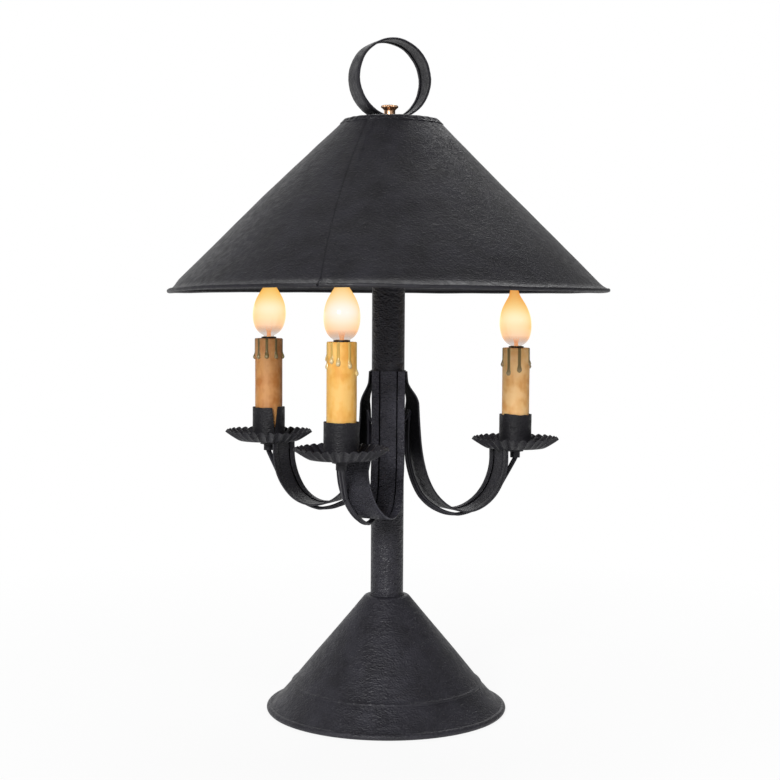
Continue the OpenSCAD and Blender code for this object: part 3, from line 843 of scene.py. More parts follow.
@dataclass
class Post:
    """The tube post with its solder ring, and the pipe inside it."""

    radius: float = 15.875
    collar_z: float = 112.6
    solder_r: float = 0.85
    around: int = 120

    def build(self, finishes: Finishes) -> None:
        """Builds the solder ring at the foot of the post, and dresses post and pipe.

        Args:
            finishes: the lamp's finishes.
        """
        ring = arc((self.radius + 0.2, self.collar_z + 0.35), self.solder_r, 0.0, 345.0, 14)

        def shape(p: Vector, az: float, k: int) -> Vector:
            """Lets the solder swell and thin."""
            return p + Vector((0.3, 0.2)) * hand_wave(az, 0.0, 10.0, 1.0, 5.0)

        solder = Mesh("post_foot_solder").add(turned(ring, self.around, shape))
        solder.dress("lamp", finishes.base, corner=60.0)
        dress_nodes(finishes.post, "post_tube", "post_cap")
        dress_nodes(finishes.zinc, "centre_rod", "rod_nuts", "rod_washers")


# ---------------------------------------------------------------- arms


@dataclass
class Light:
    """The sizes of one arm and its candle, in millimetres and degrees.

    Attributes:
        side: which light it is.
        strap_az: bearing at which the strap leaves the post.
        leg_az: bearing of its end under the pan, which is leg_r from the post's middle.
        faces: bearings that it faces above, before the bend, at the bend and on the leg.
        veer: how late it swings from the one bearing to the other.
        low_z: height of its lowest point, which is at low_at of its reach.
        step: how far it stands off the post where it comes free.
        lean: share of the reach by which its upper curve is pulled out, and fall the way down.
        low_run: share of the reach over which it levels out.
        pan_z: height of the pan's underside, whose middle is reach from the leg.
        cord_side: how far aside the lead lies at the leg, at the bend and above.
        cord_turn: the lead's turn about itself above the bend.
        cord_slack: gap between lead and strap past the bend, at it and above it.
        sleeve: length of the sleeve, which was dipped in wax.
        split_az: bearing of the cup's split, which is split_w wide.
        bulb_r: the bulb's widest radius.
        bulb_lift: how much higher than its seat the bulb stands.
        bulb_tilt: how far it leans to the right for each millimetre of height.
        seed: picks the pattern of what is uneven.
        runs: bearing, length and half width of each run of wax.
    """

    side: Side
    strap_az: float
    leg_az: float
    leg_r: float
    faces: tuple[float, float, float, float]
    veer: float
    low_z: float
    low_at: float
    step: float
    lean: float
    fall: float
    low_run: float
    pan_z: float
    reach: float
    cord_side: Triple
    cord_turn: float
    cord_slack: Triple
    sleeve: float
    wax: Wax
    split_az: float
    split_w: float
    bulb_r: float
    bulb_lift: float
    bulb_tilt: float
    seed: float
    runs: tuple[Triple, ...]


LIGHTS = (
    Light(
        side=Side.FRONT, strap_az=1.5, leg_az=-17.35, leg_r=107.3, faces=(-1.0, -2.0, -20.0, -22.0),
        veer=2.15, low_z=196.0, low_at=0.58, step=4.1, lean=0.03, fall=95.0, low_run=0.3, pan_z=257.5,
        reach=24.0, cord_side=(-11.0, -10.0, -4.0), cord_turn=0.0, cord_slack=(1.4, 3.6, 2.0),
        sleeve=103.2, wax=Wax.GOLD, split_az=180.0, split_w=1.6, bulb_r=16.3, bulb_lift=-1.4,
        bulb_tilt=0.0, seed=1.7,
        runs=(
            (-68, 24.5, 1.3), (-38, 19.5, 1.5), (-11, 21.5, 1.5), (33, 23.5, 1.5), (74, 30.5, 1.5),
            (130, 20.0, 1.4), (-150, 25.0, 1.4), (-105, 18.0, 1.3),
        ),
    ),
    Light(
        side=Side.RIGHT, strap_az=92.0, leg_az=102.7, leg_r=113.2, faces=(119.7, 115.6, 122.6, 120.8),
        veer=1.18, low_z=193.5, low_at=0.57, step=7.2, lean=-0.03, fall=105.0, low_run=0.27, pan_z=253.9,
        reach=18.8, cord_side=(-7.9, 1.6, 12.6), cord_turn=74.0, cord_slack=(0.5, 2.3, 0.7),
        sleeve=98.0, wax=Wax.PALE, split_az=-49.0, split_w=1.0, bulb_r=15.8, bulb_lift=0.0,
        bulb_tilt=-0.04, seed=5.3,
        runs=(
            (-78, 19.0, 1.5), (-36, 27.5, 1.7), (10, 24.3, 1.7), (66, 18.0, 1.5), (100, 21.0, 1.4),
            (135, 20.0, 1.4), (175, 24.0, 1.4), (-120, 16.0, 1.3),
        ),
    ),
    Light(
        side=Side.LEFT, strap_az=-92.0, leg_az=-104.3, leg_r=106.7, faces=(-110.6, -111.5, -118.6, -127.8),
        veer=1.41, low_z=199.1, low_at=0.58, step=5.5, lean=-0.02, fall=110.0, low_run=0.3, pan_z=259.4,
        reach=19.2, cord_side=(7.9, -1.6, -12.6), cord_turn=-74.0, cord_slack=(0.5, 2.8, 0.7),
        sleeve=100.3, wax=Wax.TAN, split_az=26.0, split_w=5.0, bulb_r=16.4, bulb_lift=1.0,
        bulb_tilt=0.02, seed=9.1,
        runs=(
            (-88, 21.0, 1.5), (-42, 20.5, 1.5), (-4, 20.0, 1.5), (36, 20.0, 1.4), (84, 20.5, 1.6),
            (130, 24.0, 1.4), (-150, 22.0, 1.4),
        ),
    ),
)


@dataclass
class Station:
    """One place along a strap: its point, the ways of its width and hollow side, and how far along it is."""

    point: Vector
    wide: Vector
    concave: Vector
    way: float


@dataclass
class StrapArm:
    """A hemmed strap that leaves the post, swings down and rises under a drip pan."""

    light: Light
    post_r: float = 15.925
    top: float = 331.0
    width: float = 31.75
    hem: float = 7.0
    sheet: float = 0.8
    folded: float = 1.8
    free: float = 31.0
    tab_r: float = 9.0
    tab_z: float = -0.42
    post_side_shade_at: Pair = (70.0, 110.0)
    stations: list[Station] = field(default_factory=list)
    lowest: int = 0

    def __post_init__(self) -> None:
        """Works out the stations along the strap."""
        light = self.light
        ray = bearing(light.strap_az)
        start = self.post_r * ray
        whole = light.leg_r * bearing(light.leg_az) - start
        along = whole.dot(ray)
        points = []
        for q in self.side_view(light.step / whole.length):
            plan = start + q.x * along * ray + max(q.x, 1e-4) ** light.veer * (whole - along * ray)
            points.append(plan + UP * q.y)
        ways = [0.0]
        for a, b in zip(points, points[1:]):
            ways.append(ways[-1] + (b - a).length)
        faces = self.facing(ways)
        for k, p in enumerate(points):
            run = (points[min(k + 1, len(points) - 1)] - points[max(k - 1, 0)]).normalized()
            concave = run.cross(across(faces[k])).normalized()
            self.stations.append(Station(p, concave.cross(run).normalized(), concave, ways[k]))

    def side_view(self, step: float) -> Ring:
        """Gives the strap's line as share of its reach and height, and notes its lowest point.

        Args:
            step: the share of the reach at which the strap stands off the post.

        Returns:
            The points from the strap's upper end to its end under the pan.
        """
        light, top, low, m = self.light, self.top, self.light.low_z, self.light.low_at
        off = (step, top - self.free)
        view = refine([(0.0, top), (0.0, top - 8)], 2.0)
        view += bezier(12, (0.0, top - 8), (0.0, top - 17), (0.9 * step, top - 22), off)
        view += bezier(84, off, (step + light.lean, top - light.fall), (m - light.low_run, low), (m, low))
        self.lowest = len(view) - 1
        view += bezier(72, (m, low), (m + 0.22, low), (1.0, low + 21.5), (1.0, low + 52.5))
        return view + refine([view[-1], (1.0, light.pan_z - 0.3)], 1.0)[1:]

    def facing(self, ways: Sequence[float]) -> list[float]:
        """Gives the bearing that the strap faces at each place, smoothed along it.

        Args:
            ways: how far along the strap each place is.

        Returns:
            One bearing for each place, in degrees.
        """
        az, (upper, inner, bend, leg) = self.light.strap_az, self.light.faces
        end, low = ways[-1], ways[self.lowest]
        turn = [
            (8.0, az), (0.16 * low, az + 0.65 * (upper - az)), (0.35 * low, upper), (0.75 * low, inner),
            (low, bend), (low + 0.6 * (end - low), leg),
        ]
        faces = [lookup(w, turn) for w in ways]
        near = [faces[max(0, k - 6) : k + 7] for k in range(len(faces))]
        return [sum(part) / len(part) for part in near]

    @property
    def pan_middle(self) -> Vector:
        """The middle of the drip pan's underside.

        Returns:
            The point in millimetres.
        """
        light = self.light
        foot = light.leg_r * bearing(light.leg_az) + light.reach * bearing(light.faces[3])
        return foot + UP * light.pan_z

    def section(self) -> list[Pair]:
        """Gives the strap's outline across its width, with both hems folded over.

        Returns:
            Places across the strap and heights on its candle side.
        """
        half, t, f = self.width / 2, self.sheet, self.folded
        r, flat = f / 2, self.width / 2 - self.folded / 2
        turns = [math.radians(a) for a in range(-90, 91, 30)]
        right = [(flat + r * math.cos(a), r + r * math.sin(a)) for a in turns]
        outer = [(flat * k, 0.0) for k in (-0.66, -0.33, 0.0, 0.33, 0.66)]
        edge = half - self.hem
        lip = [(edge + 0.4, f), (edge, f - 0.3), (edge + 0.8, t - 0.5), (edge - 0.9, t - 0.5)]
        web = [(x, t) for x in (edge - 1.4, half * 0.3, 0.0, -half * 0.3, -edge + 1.4)]
        return outer + right + lip + web + [(-x, y) for x, y in reversed(right + lip)]

    def build(self, finishes: Finishes) -> None:
        """Builds the strap with its end tab.

        Args:
            finishes: the lamp's finishes.
        """
        side, seed = self.light.side, self.light.seed
        section = self.section()
        rings = []
        for st in self.stations:
            ring = []
            for w, n in section:
                face = math.copysign(1.0, w)
                uneven = 0.18 * drift(st.way / 17.0, w / 9.0, seed)
                sway = drift(st.way / 23.0, 4.0 * face, 7.0 + seed)
                nick = drift(st.way / 3.5, 2.0 * face, 3.0 + seed)
                edge = 0.35 * sway + 0.12 * nick if abs(w) > self.width / 2 - self.hem - 1 else 0.0
                ring.append(st.point + (w + edge) * st.wide + (n + uneven) * st.concave)
            rings.append(ring)
        # Painted shade: the folds beside the hems and the back of each strap next to the post are marked
        # dark.
        painted_shade = [max(self.painted_shade(w, n), self.post_side_shade(st.way, n)) for st in self.stations for w, n in section]
        mesh = Mesh(f"arm_{side.value}_strap").add(loft(rings, ends=True), crevice=painted_shade)
        mesh.add(self.tab())
        finish = finishes.front_strap if side is Side.FRONT else finishes.strap
        mesh.dress("lamp", finish, f"arm_{side.value}", corner=40.0)

    def painted_shade(self, w: float, n: float) -> float:
        """Gives 1 at the bottom of the fold beside each hem, where shade is painted."""
        return 1.0 if 0.1 < n < self.sheet - 0.4 and abs(w) < self.width / 2 - self.hem + 1.0 else 0.0

    def post_side_shade(self, way: float, n: float) -> float:
        """Gives the painted shade on the back of a strap next to the post, and a lighter painted shade along
        the whole back of the front strap.
        """
        least = 0.4 if self.light.side is Side.FRONT else 0.0
        return max(0.9 * (1.0 - smooth(way, *self.post_side_shade_at)), least) if n < 0.1 else 0.0

    def tab(self) -> tuple[Ring, list[Face]]:
        """Gives the web's end, bent outwards under the pan and rounded.

        Returns:
            The points and the faces.
        """
        out, wide = bearing(self.light.faces[3]), across(self.light.faces[3])
        half, leg = self.width / 2 - self.hem, -self.light.reach
        bend = ((-0.4, -8.0), (-0.4, -2.6), (-0.1, -1.4), (0.9, -0.55), (2.2, self.tab_z))
        path = [(leg + y, z) for y, z in bend]
        path += [(leg + 2.2 - k * (leg + 2.2) / 6, self.tab_z) for k in range(1, 7)]
        rounding = [math.radians(a) for a in (15, 30, 45, 60, 72, 82, 88)]
        path += [(self.tab_r * math.sin(a), self.tab_z) for a in rounding]
        rings = []
        for k, (y, z) in enumerate(path):
            a, b = path[max(k - 1, 0)], path[min(k + 1, len(path) - 1)]
            way = Vector((b[0] - a[0], b[1] - a[1])).normalized()
            span = half if y <= 0 else half * math.sqrt(max(1.0 - (y / self.tab_r) ** 2, 0.002))
            ring = []
            for w, n in [(k / 3, -0.5) for k in (-3, -1, 1, 3)] + [(k / 3, 0.5) for k in (3, 1, -1, -3)]:
                up, back = n * self.sheet * way.x, n * self.sheet * way.y
                ring.append(self.pan_middle + out * (y - back) + UP * (z + up) + wide * w * span)
            rings.append(ring)
        return loft(rings, ends=True)


@dataclass
class Carried:
    """A piece that an arm carries."""

    arm: StrapArm

    def __post_init__(self) -> None:
        """Looks up the light, its name and the middle of its pan."""
        self.light = self.arm.light
        self.side = self.light.side.value
        self.middle = self.arm.pan_middle


@dataclass
class Cord(Carried):
    """The two-core lead that is bound along an arm and painted over with it.

    Attributes:
        width: across both cores, and thick through them.
        post_r: radius of the post, whose wall is post_wall.
        hole_z: height of the hole through it.
        from_z: height on the strap from which the lead leaves it for the hole.
        tie: how many of the strap's stations two points of the lead are apart.
        gap: between lead and strap at both ends.
    """

    width: float = 5.8
    thick: float = 3.1
    post_r: float = 15.875
    post_wall: float = 1.2
    hole_z: float = 283.0
    from_z: float = 300.0
    tie: int = 3
    gap: float = 0.3

    def build(self, finishes: Finishes) -> None:
        """Builds the lead from the nipple to its hole through the post.

        Args:
            finishes: the lamp's finishes.
        """
        path = self.route()
        points = even_path([p for p, _, _ in path], 1.6)
        rings = []
        for k, (p, t) in enumerate(points):
            run = (points[min(k + 1, len(points) - 1)][0] - points[max(k - 1, 0)][0]).normalized()
            i = min(int(t), len(path) - 2)
            hint = path[i][1].lerp(path[i + 1][1], t - i)
            turn = path[i][2] * (1 - t + i) + path[i + 1][2] * (t - i)
            wide = (hint - run * hint.dot(run)).normalized()
            wide = Matrix.Rotation(math.radians(turn), 3, run) @ wide
            rings.append([p + x * wide + y * wide.cross(run) for x, y in self.section()])
        mesh = Mesh(f"lead_{self.side}_cord").add(loft(rings, ends=True))
        mesh.dress("lamp", finishes.cord, f"lead_{self.side}", corner=60.0, slot="painted_cord")

    def route(self) -> list[tuple[Vector, Vector, float]]:
        """Gives the lead's points, each with the direction of its width and its turn about itself.

        Returns:
            The points from the nipple to the post's inside.
        """
        light, arm, low = self.light, self.arm, self.arm.lowest
        path = [(self.middle + UP * z, across(light.faces[3]), 0.0) for z in (5.0, -2.0, -7.0, -10.5)]
        first = next(k for k, st in enumerate(arm.stations) if st.point.z < self.from_z)
        last = low + 48
        after, at_bend, before = light.cord_slack
        at_pan, at_low, upper = light.cord_side
        sides = [(first, 0.0), (first + 24, upper * 0.7), (low - 36, upper), (low, at_low), (last, at_pan)]
        turns = [(first, 0.0), (low - 36, light.cord_turn), (low, 0.0)]
        gaps = [(low - 18, before), (low, at_bend), (low + 18, after)]
        gaps = [(first, self.gap), *gaps, (last, self.gap)]
        for k in range(last, first, -self.tie):
            st, turn = arm.stations[k], lookup(k, turns)
            tilt = math.radians(turn)
            half = self.thick / 2 * abs(math.cos(tilt)) + self.width / 2 * abs(math.sin(tilt))
            out = (half + lookup(k, gaps)) * st.concave
            path.append((st.point + lookup(k, sides) * st.wide - out, st.wide, turn))
        inside = self.post_r - self.post_wall - 1.0 - self.thick / 2
        hole = [(self.post_r + self.post_wall, 0.5), (self.post_r - 3.0, -1.5)]
        for r, z in hole + [(inside, z) for z in (-8.0, -30.0, -100.0)]:
            path.append((r * bearing(light.strap_az) + UP * (self.hole_z + z), across(light.strap_az), 0.0))
        return path

    def section(self) -> list[Pair]:
        """Gives the outline across the lead: two round cores with a groove between them.

        Returns:
            Places across the lead and through it.
        """
        core = 0.25 * self.width
        out = []
        for a in range(0, 360, 15):
            x = 0.5 * self.width * math.cos(math.radians(a))
            off = abs(x) - core
            y = math.sqrt(max(core * core - off * off, 0.0)) * self.thick / (2 * core)
            if abs(x) < core:
                y = max(y, 0.28 * self.thick)
            out.append((x, math.copysign(y, math.sin(math.radians(a)))))
        return out


def even_path(knots: Sequence[Vector], step: float) -> list[tuple[Vector, float]]:
    """Runs a smooth line through knots.

    Args:
        knots: the points that it passes.
        step: about how far apart the new points are.

    Returns:
        Pairs of point and knot number, with the part between knots as a fraction.
    """
    out = []
    for i in range(len(knots) - 1):
        p0, p1, p2, p3 = knots[max(i - 1, 0)], knots[i], knots[i + 1], knots[min(i + 2, len(knots) - 1)]
        n = max(1, round((p2 - p1).length / step))
        for k in range(n):
            t = k / n
            bow = (2 * p0 - 5 * p1 + 4 * p2 - p3) * t * t + (3 * p1 - p0 - 3 * p2 + p3) * t**3
            out.append((p1 + 0.5 * ((p2 - p0) * t + bow), i + t))
    return out + [(knots[-1], float(len(knots) - 1))]


# ---------------------------------------------------------------- pans, cups and candles


@dataclass
class DripPan(Carried):
    """A crimped pan: a flat floor whose flared wall is pressed into flutes of the given depth."""

    rim_r: float = 42.5
    floor_r: float = 29.5
    height: float = 9.5
    sheet: float = 0.5
    flutes: int = 32
    depth: float = 1.25
    hole_r: float = 4.95
    steps: int = 18
    across_flute: int = 14

    def middle_line(self) -> Ring:
        """Gives the metal's middle in r and z, from the hole to the rim.

        Returns:
            Its points.
        """
        flat = [Vector((r, 0.0)) for r in (self.hole_r, 16.0, 23.0, 27.0, self.floor_r - 1.2)]
        shares = [k / self.steps for k in range(self.steps + 1)]
        flare = self.rim_r - self.floor_r
        return flat + [
            Vector((self.floor_r + flare * t, self.height * (0.93 * t + 0.07 * t * t))) for t in shares
        ]

    def build(self, finishes: Finishes) -> None:
        """Builds the pan from its hole outwards and back.

        Args:
            finishes: the lamp's finishes.
        """
        seed = self.light.seed
        line = self.middle_line()
        normals = [below - here for below, here in zip(inward(line, 1.0), line)]
        first = len(line) - self.steps - 1
        around = self.flutes * self.across_flute
        rings = []
        for j, az in enumerate(evenly(around)):
            out = bearing(az)
            at_flute = self.flutes * j / around
            phase = math.pi * at_flute + 0.25 * drift(out.x * 2.0, out.y * 2.0, seed)
            crimp = 1.0 + 0.35 * drift(round(at_flute) * 1.7, seed, 0.0)
            # Each flute comes to a crisp ridge outside and a round hollow inside.
            wave = 1.1 - 2.1 * abs(math.sin(phase)) ** 0.85
            droop = 0.7 * drift(out.x * 1.4, out.y * 1.4, seed + 3.0)
            low, high = [], []
            for k, p in enumerate(line):
                t = max(0.0, (k - first) / self.steps)
                q = p + normals[k] * wave * self.depth * crimp * t**0.6 + Vector((0.0, droop * t * t))
                up = q - normals[k] * self.sheet
                low.append(self.middle + out * q.x + UP * max(q.y, 0.0))
                high.append(self.middle + out * up.x + UP * max(up.y, self.sheet))
            rings.append(low + high[::-1])
        mesh = Mesh(f"drip_pan_{self.side}_crimped").add(loft(rings, along=True))
        mesh.dress("lamp", finishes.pan, f"drip_pan_{self.side}", corner=42.0)


@dataclass
class CandleCup(Carried):
    """A cup rolled from sheet, whose edges part or lap at its split."""

    radius: float = 16.0
    height: float = 32.7
    sheet: float = 0.6
    seat: float = 0.5
    slit_from: float = 8.5
    hole_r: float = 5.2
    floor_around: int = 72
    around: int = 110
    rows: int = 22

    def wall_point(self, u: float, z: float) -> Pair:
        """Gives bearing and radius of the wall's outer face.

        Args:
            u: share of the way round from one edge of the split to the other.
            z: height over the cup's foot.

        Returns:
            The bearing in degrees and the radius.
        """
        light = self.light
        sprung = light.split_w > 1.2
        up = max(z - self.slit_from, 0.0) / (self.height - self.slit_from)
        gap = 0.1 + (light.split_w / 2 * up if sprung else 0.02)
        opened = math.degrees(gap / self.radius)
        az = light.split_az + opened + u * (360.0 - 2 * opened)
        swell = 0.15 * drift(math.cos(TURN * u), math.sin(TURN * u), z / 16.0 + light.seed)
        spring = (0.9 if sprung else 0.25) * up * (bump(u, 0.0, 0.06) + bump(u, 1.0, 0.06))
        return az, self.radius + swell * smooth(z, 0.0, 8.0) + spring

    def build(self, finishes: Finishes) -> None:
        """Builds the wall from one edge of the split round to the other, and the floor.

        Args:
            finishes: the lamp's finishes.
        """
        foot = self.middle + UP * self.seat
        rings = []
        for j in range(self.around + 1):
            u = j / self.around
            rough = drift(math.cos(TURN * u) * 3.0, math.sin(TURN * u) * 3.0, self.light.seed)
            taller = 1.1 * bump(u, 0.02, 0.07) if self.light.side is not Side.FRONT else 0.0
            outer, inner = [], []
            for k in range(self.rows + 1):
                z = k / self.rows * (self.height + 0.45 * rough + taller)
                az, r = self.wall_point(u, z)
                outer.append(foot + bearing(az) * r + UP * z)
                inner.append(foot + bearing(az) * (r - self.sheet) + UP * z)
            rings.append(outer + inner[::-1])
        mesh = Mesh(f"candle_cup_{self.side}_rolled").add(loft(rings, ends=True))
        low, high, hole, edge = 0.02, self.sheet, self.hole_r, self.radius - 0.7
        floor = [Vector(p) for p in ((hole, low), (edge, low), (edge, high), (hole, high))]
        points, faces = turned(floor, self.floor_around, lambda p, az, k: p)
        mesh.add(([foot + p for p in points], faces))
        mesh.dress("lamp", finishes.cup, f"candle_cup_{self.side}", corner=45.0)


@dataclass
class CandleSleeve(Carried):
    """A waxed sleeve with runs cast down its upper end."""

    radius: float = 13.5
    bore: float = 10.65
    seat: float = 1.1
    runs_from: float = 36.0
    row: float = 2.0
    fine_row: float = 0.42
    around: int = 288

    def profile(self) -> list[Pair]:
        """Gives r and height of the sleeve's outline, closer together where the runs are.

        Returns:
            The pairs, from the bore's foot round to the bore's top.
        """
        length, row, fine = self.light.sleeve, self.row, self.fine_row
        heights = [0.0, 0.2] + [row * k for k in range(1, int((length - self.runs_from) / row))]
        start = heights[-1]
        heights += [start + fine * k for k in range(1, int((length - 0.9 - start) / fine) + 1)]
        heights += [length - 0.8, length - 0.5, length - 0.2, length - 0.03]
        top = [(self.radius - 1.0, length), (self.bore + 0.6, length), (self.bore, length - 0.5)]
        return [(self.bore, 0.0)] + [(self.radius, h) for h in heights] + top

    def build(self, finishes: Finishes) -> None:
        """Builds the sleeve as one skin, raised where a run lies on it.

        Args:
            finishes: the lamp's finishes.
        """
        light, length = self.light, self.light.sleeve
        foot = self.middle + UP * self.seat
        rings, runs, drops = [], [], []
        for az in evenly(self.around):
            way = bearing(az)
            ring = []
            for r, h in self.profile():
                rise, run, drop = 0.0, 0.0, 0.0
                if r == self.radius:
                    rise, run, drop = self.run_height(az, length - h)
                    rise -= 0.8 * max((h - (length - 0.9)) / 0.9, 0.0) ** 2
                    rise += 0.12 * drift(way.x * 1.5, way.y * 1.5, h / 22.0 + light.seed)
                elif h > length - self.runs_from:
                    run = 0.6 * self.run_height(az, 0.5)[1]
                ring.append(foot + way * (r + rise) + UP * h)
                runs.append(run)
                drops.append(drop)
            rings.append(ring)
        mesh = Mesh(f"candle_sleeve_{self.side}_wax").add(loft(rings, along=True), run=runs, drop=drops)
        body, node = f"sleeve_{self.side}", f"candle_sleeve_{self.side}"
        mesh.dress(body, finishes.wax[light.wax], node, corner=60.0, slot="wax_sleeve")

    def run_height(self, az: float, down: float) -> Triple:
        """Gives the wax at a place on the sleeve.

        Args:
            az: bearing in degrees.
            down: way below the sleeve's top in millimetres.

        Returns:
            How far it stands out in millimetres, the share that is a run, and the share that is its drop.
        """
        rise, share, drop = 0.0, 0.0, 0.0
        for at, length, r in self.light.runs:
            off = math.radians((az - at + 180.0) % 360.0 - 180.0) * self.radius
            if abs(off) > 5.0 or down > length + 2.0:
                continue
            swell = smooth(down, length - 8.0, length - 2.2)
            body = r * (0.8 + 0.42 * swell)
            round_end = 1.8 * r
            fall = max((down - (length - round_end)) / round_end, 0.0)
            body *= math.sqrt(max(1.0 - fall * fall, 0.0))
            if body <= 0.05:
                continue
            x = off / (body * 1.1)
            rise = max(rise, body * math.sqrt(max(1.0 - x * x, 0.0)) * (0.45 + 0.75 * swell))
            share = max(share, smooth(1.2 - abs(x), 0.0, 0.3))
            drop = max(drop, swell * smooth(1.1 - abs(x), 0.0, 0.3))
        return rise, share, drop


@dataclass
class Bulb(Carried):
    """A flame-tip bulb on a candelabra base."""

    neck_r: float = 5.15
    height: float = 68.0
    below: float = 1.1
    proud: float = 2.0
    lean: float = 1.2
    wire_r: float = 0.42
    around: int = 96

    def outline(self) -> Ring:
        """Gives the glass's outline of r and z from the neck to the tip.

        Returns:
            Its points.
        """
        h, n, r = self.height, self.neck_r, self.light.bulb_r
        widest, waist = (r, 21.5), (6.0, h - 19.5)
        line = [Vector((n, -7.0)), Vector((n, 0.0))]
        line += bezier(26, (n, 0.0), (11.4, 2.6), (r, 8.5), widest)
        line += bezier(24, widest, (r, 34.0), (9.8, 42.0), waist)
        line += bezier(16, waist, (4.3, h - 16.0), (3.3, h - 10.0), (1.5, h - 1.0))
        return line + [Vector((0.9, h - 0.35)), Vector((0.05, h))]

    def build(self, finishes: Finishes) -> None:
        """Builds the glass with its drawn-out tip a little bent, and dresses base and filament.

        Args:
            finishes: the lamp's finishes.
        """
        light, side = self.light, self.side
        foot = self.middle + UP * (self.below + light.sleeve + self.proud + light.bulb_lift)
        lean = bearing(70.0 + 40.0 * light.seed)
        rings = []
        for p in self.outline():
            bend = self.lean * smooth(p.y, self.height - 24.0, self.height) ** 1.5
            middle = foot + lean * bend + Vector((light.bulb_tilt * max(p.y, 0.0), 0.0, p.y))
            rings.append([middle + bearing(az) * p.x for az in evenly(self.around)])
        low = foot.z * MM
        tones = {
            Side.FRONT: ("#fff1d8", "#ffffff", "#fff0c8", "#fed588"),
            Side.RIGHT: ("#ffdfaa", "#fffbd6", "#ffe09a", "#f0b463"),
            Side.LEFT: (),
        }[light.side]
        name = f"amber_silicone_dipped_glass_{side}"
        glass = DippedGlass(name, low, low + self.height * MM, *tones).build()
        mesh = Mesh(f"bulb_glass_{side}_dipped").add(loft(rings, ends=True))
        mesh.dress(f"bulb_{side}", glass, f"bulb_glass_{side}", corner=70.0, slot="amber_glass")
        dress_nodes(finishes.thread, f"bulb_base_{side}")
        dress_nodes(finishes.filament, f"filament_{side}")
        self.build_stem(foot, finishes)

    def build_stem(self, foot: Vector, finishes: Finishes) -> None:
        """Builds the two wires that carry the filament, which glow through the clear neck as painted glints.

        Args:
            foot: the middle of the neck, where the glass starts to widen.
            finishes: the lamp's finishes.
        """
        mesh = Mesh(f"bulb_stem_{self.side}_wires")
        for way in (-1.0, 1.0):
            line = refine([(1.2 * way, 0.0, -2.0), (1.6 * way, 0.0, 3.0), (3.0 * way, 0.4, 10.0)], 1.5)
            rings = [[foot + p + bearing(az) * self.wire_r for az in evenly(8)] for p in line]
            mesh.add(loft(rings, ends=True))
        mesh.dress(f"bulb_{self.side}", finishes.wires, corner=35.0, slot="amber_glass")


# ---------------------------------------------------------------- shade, ring and knob


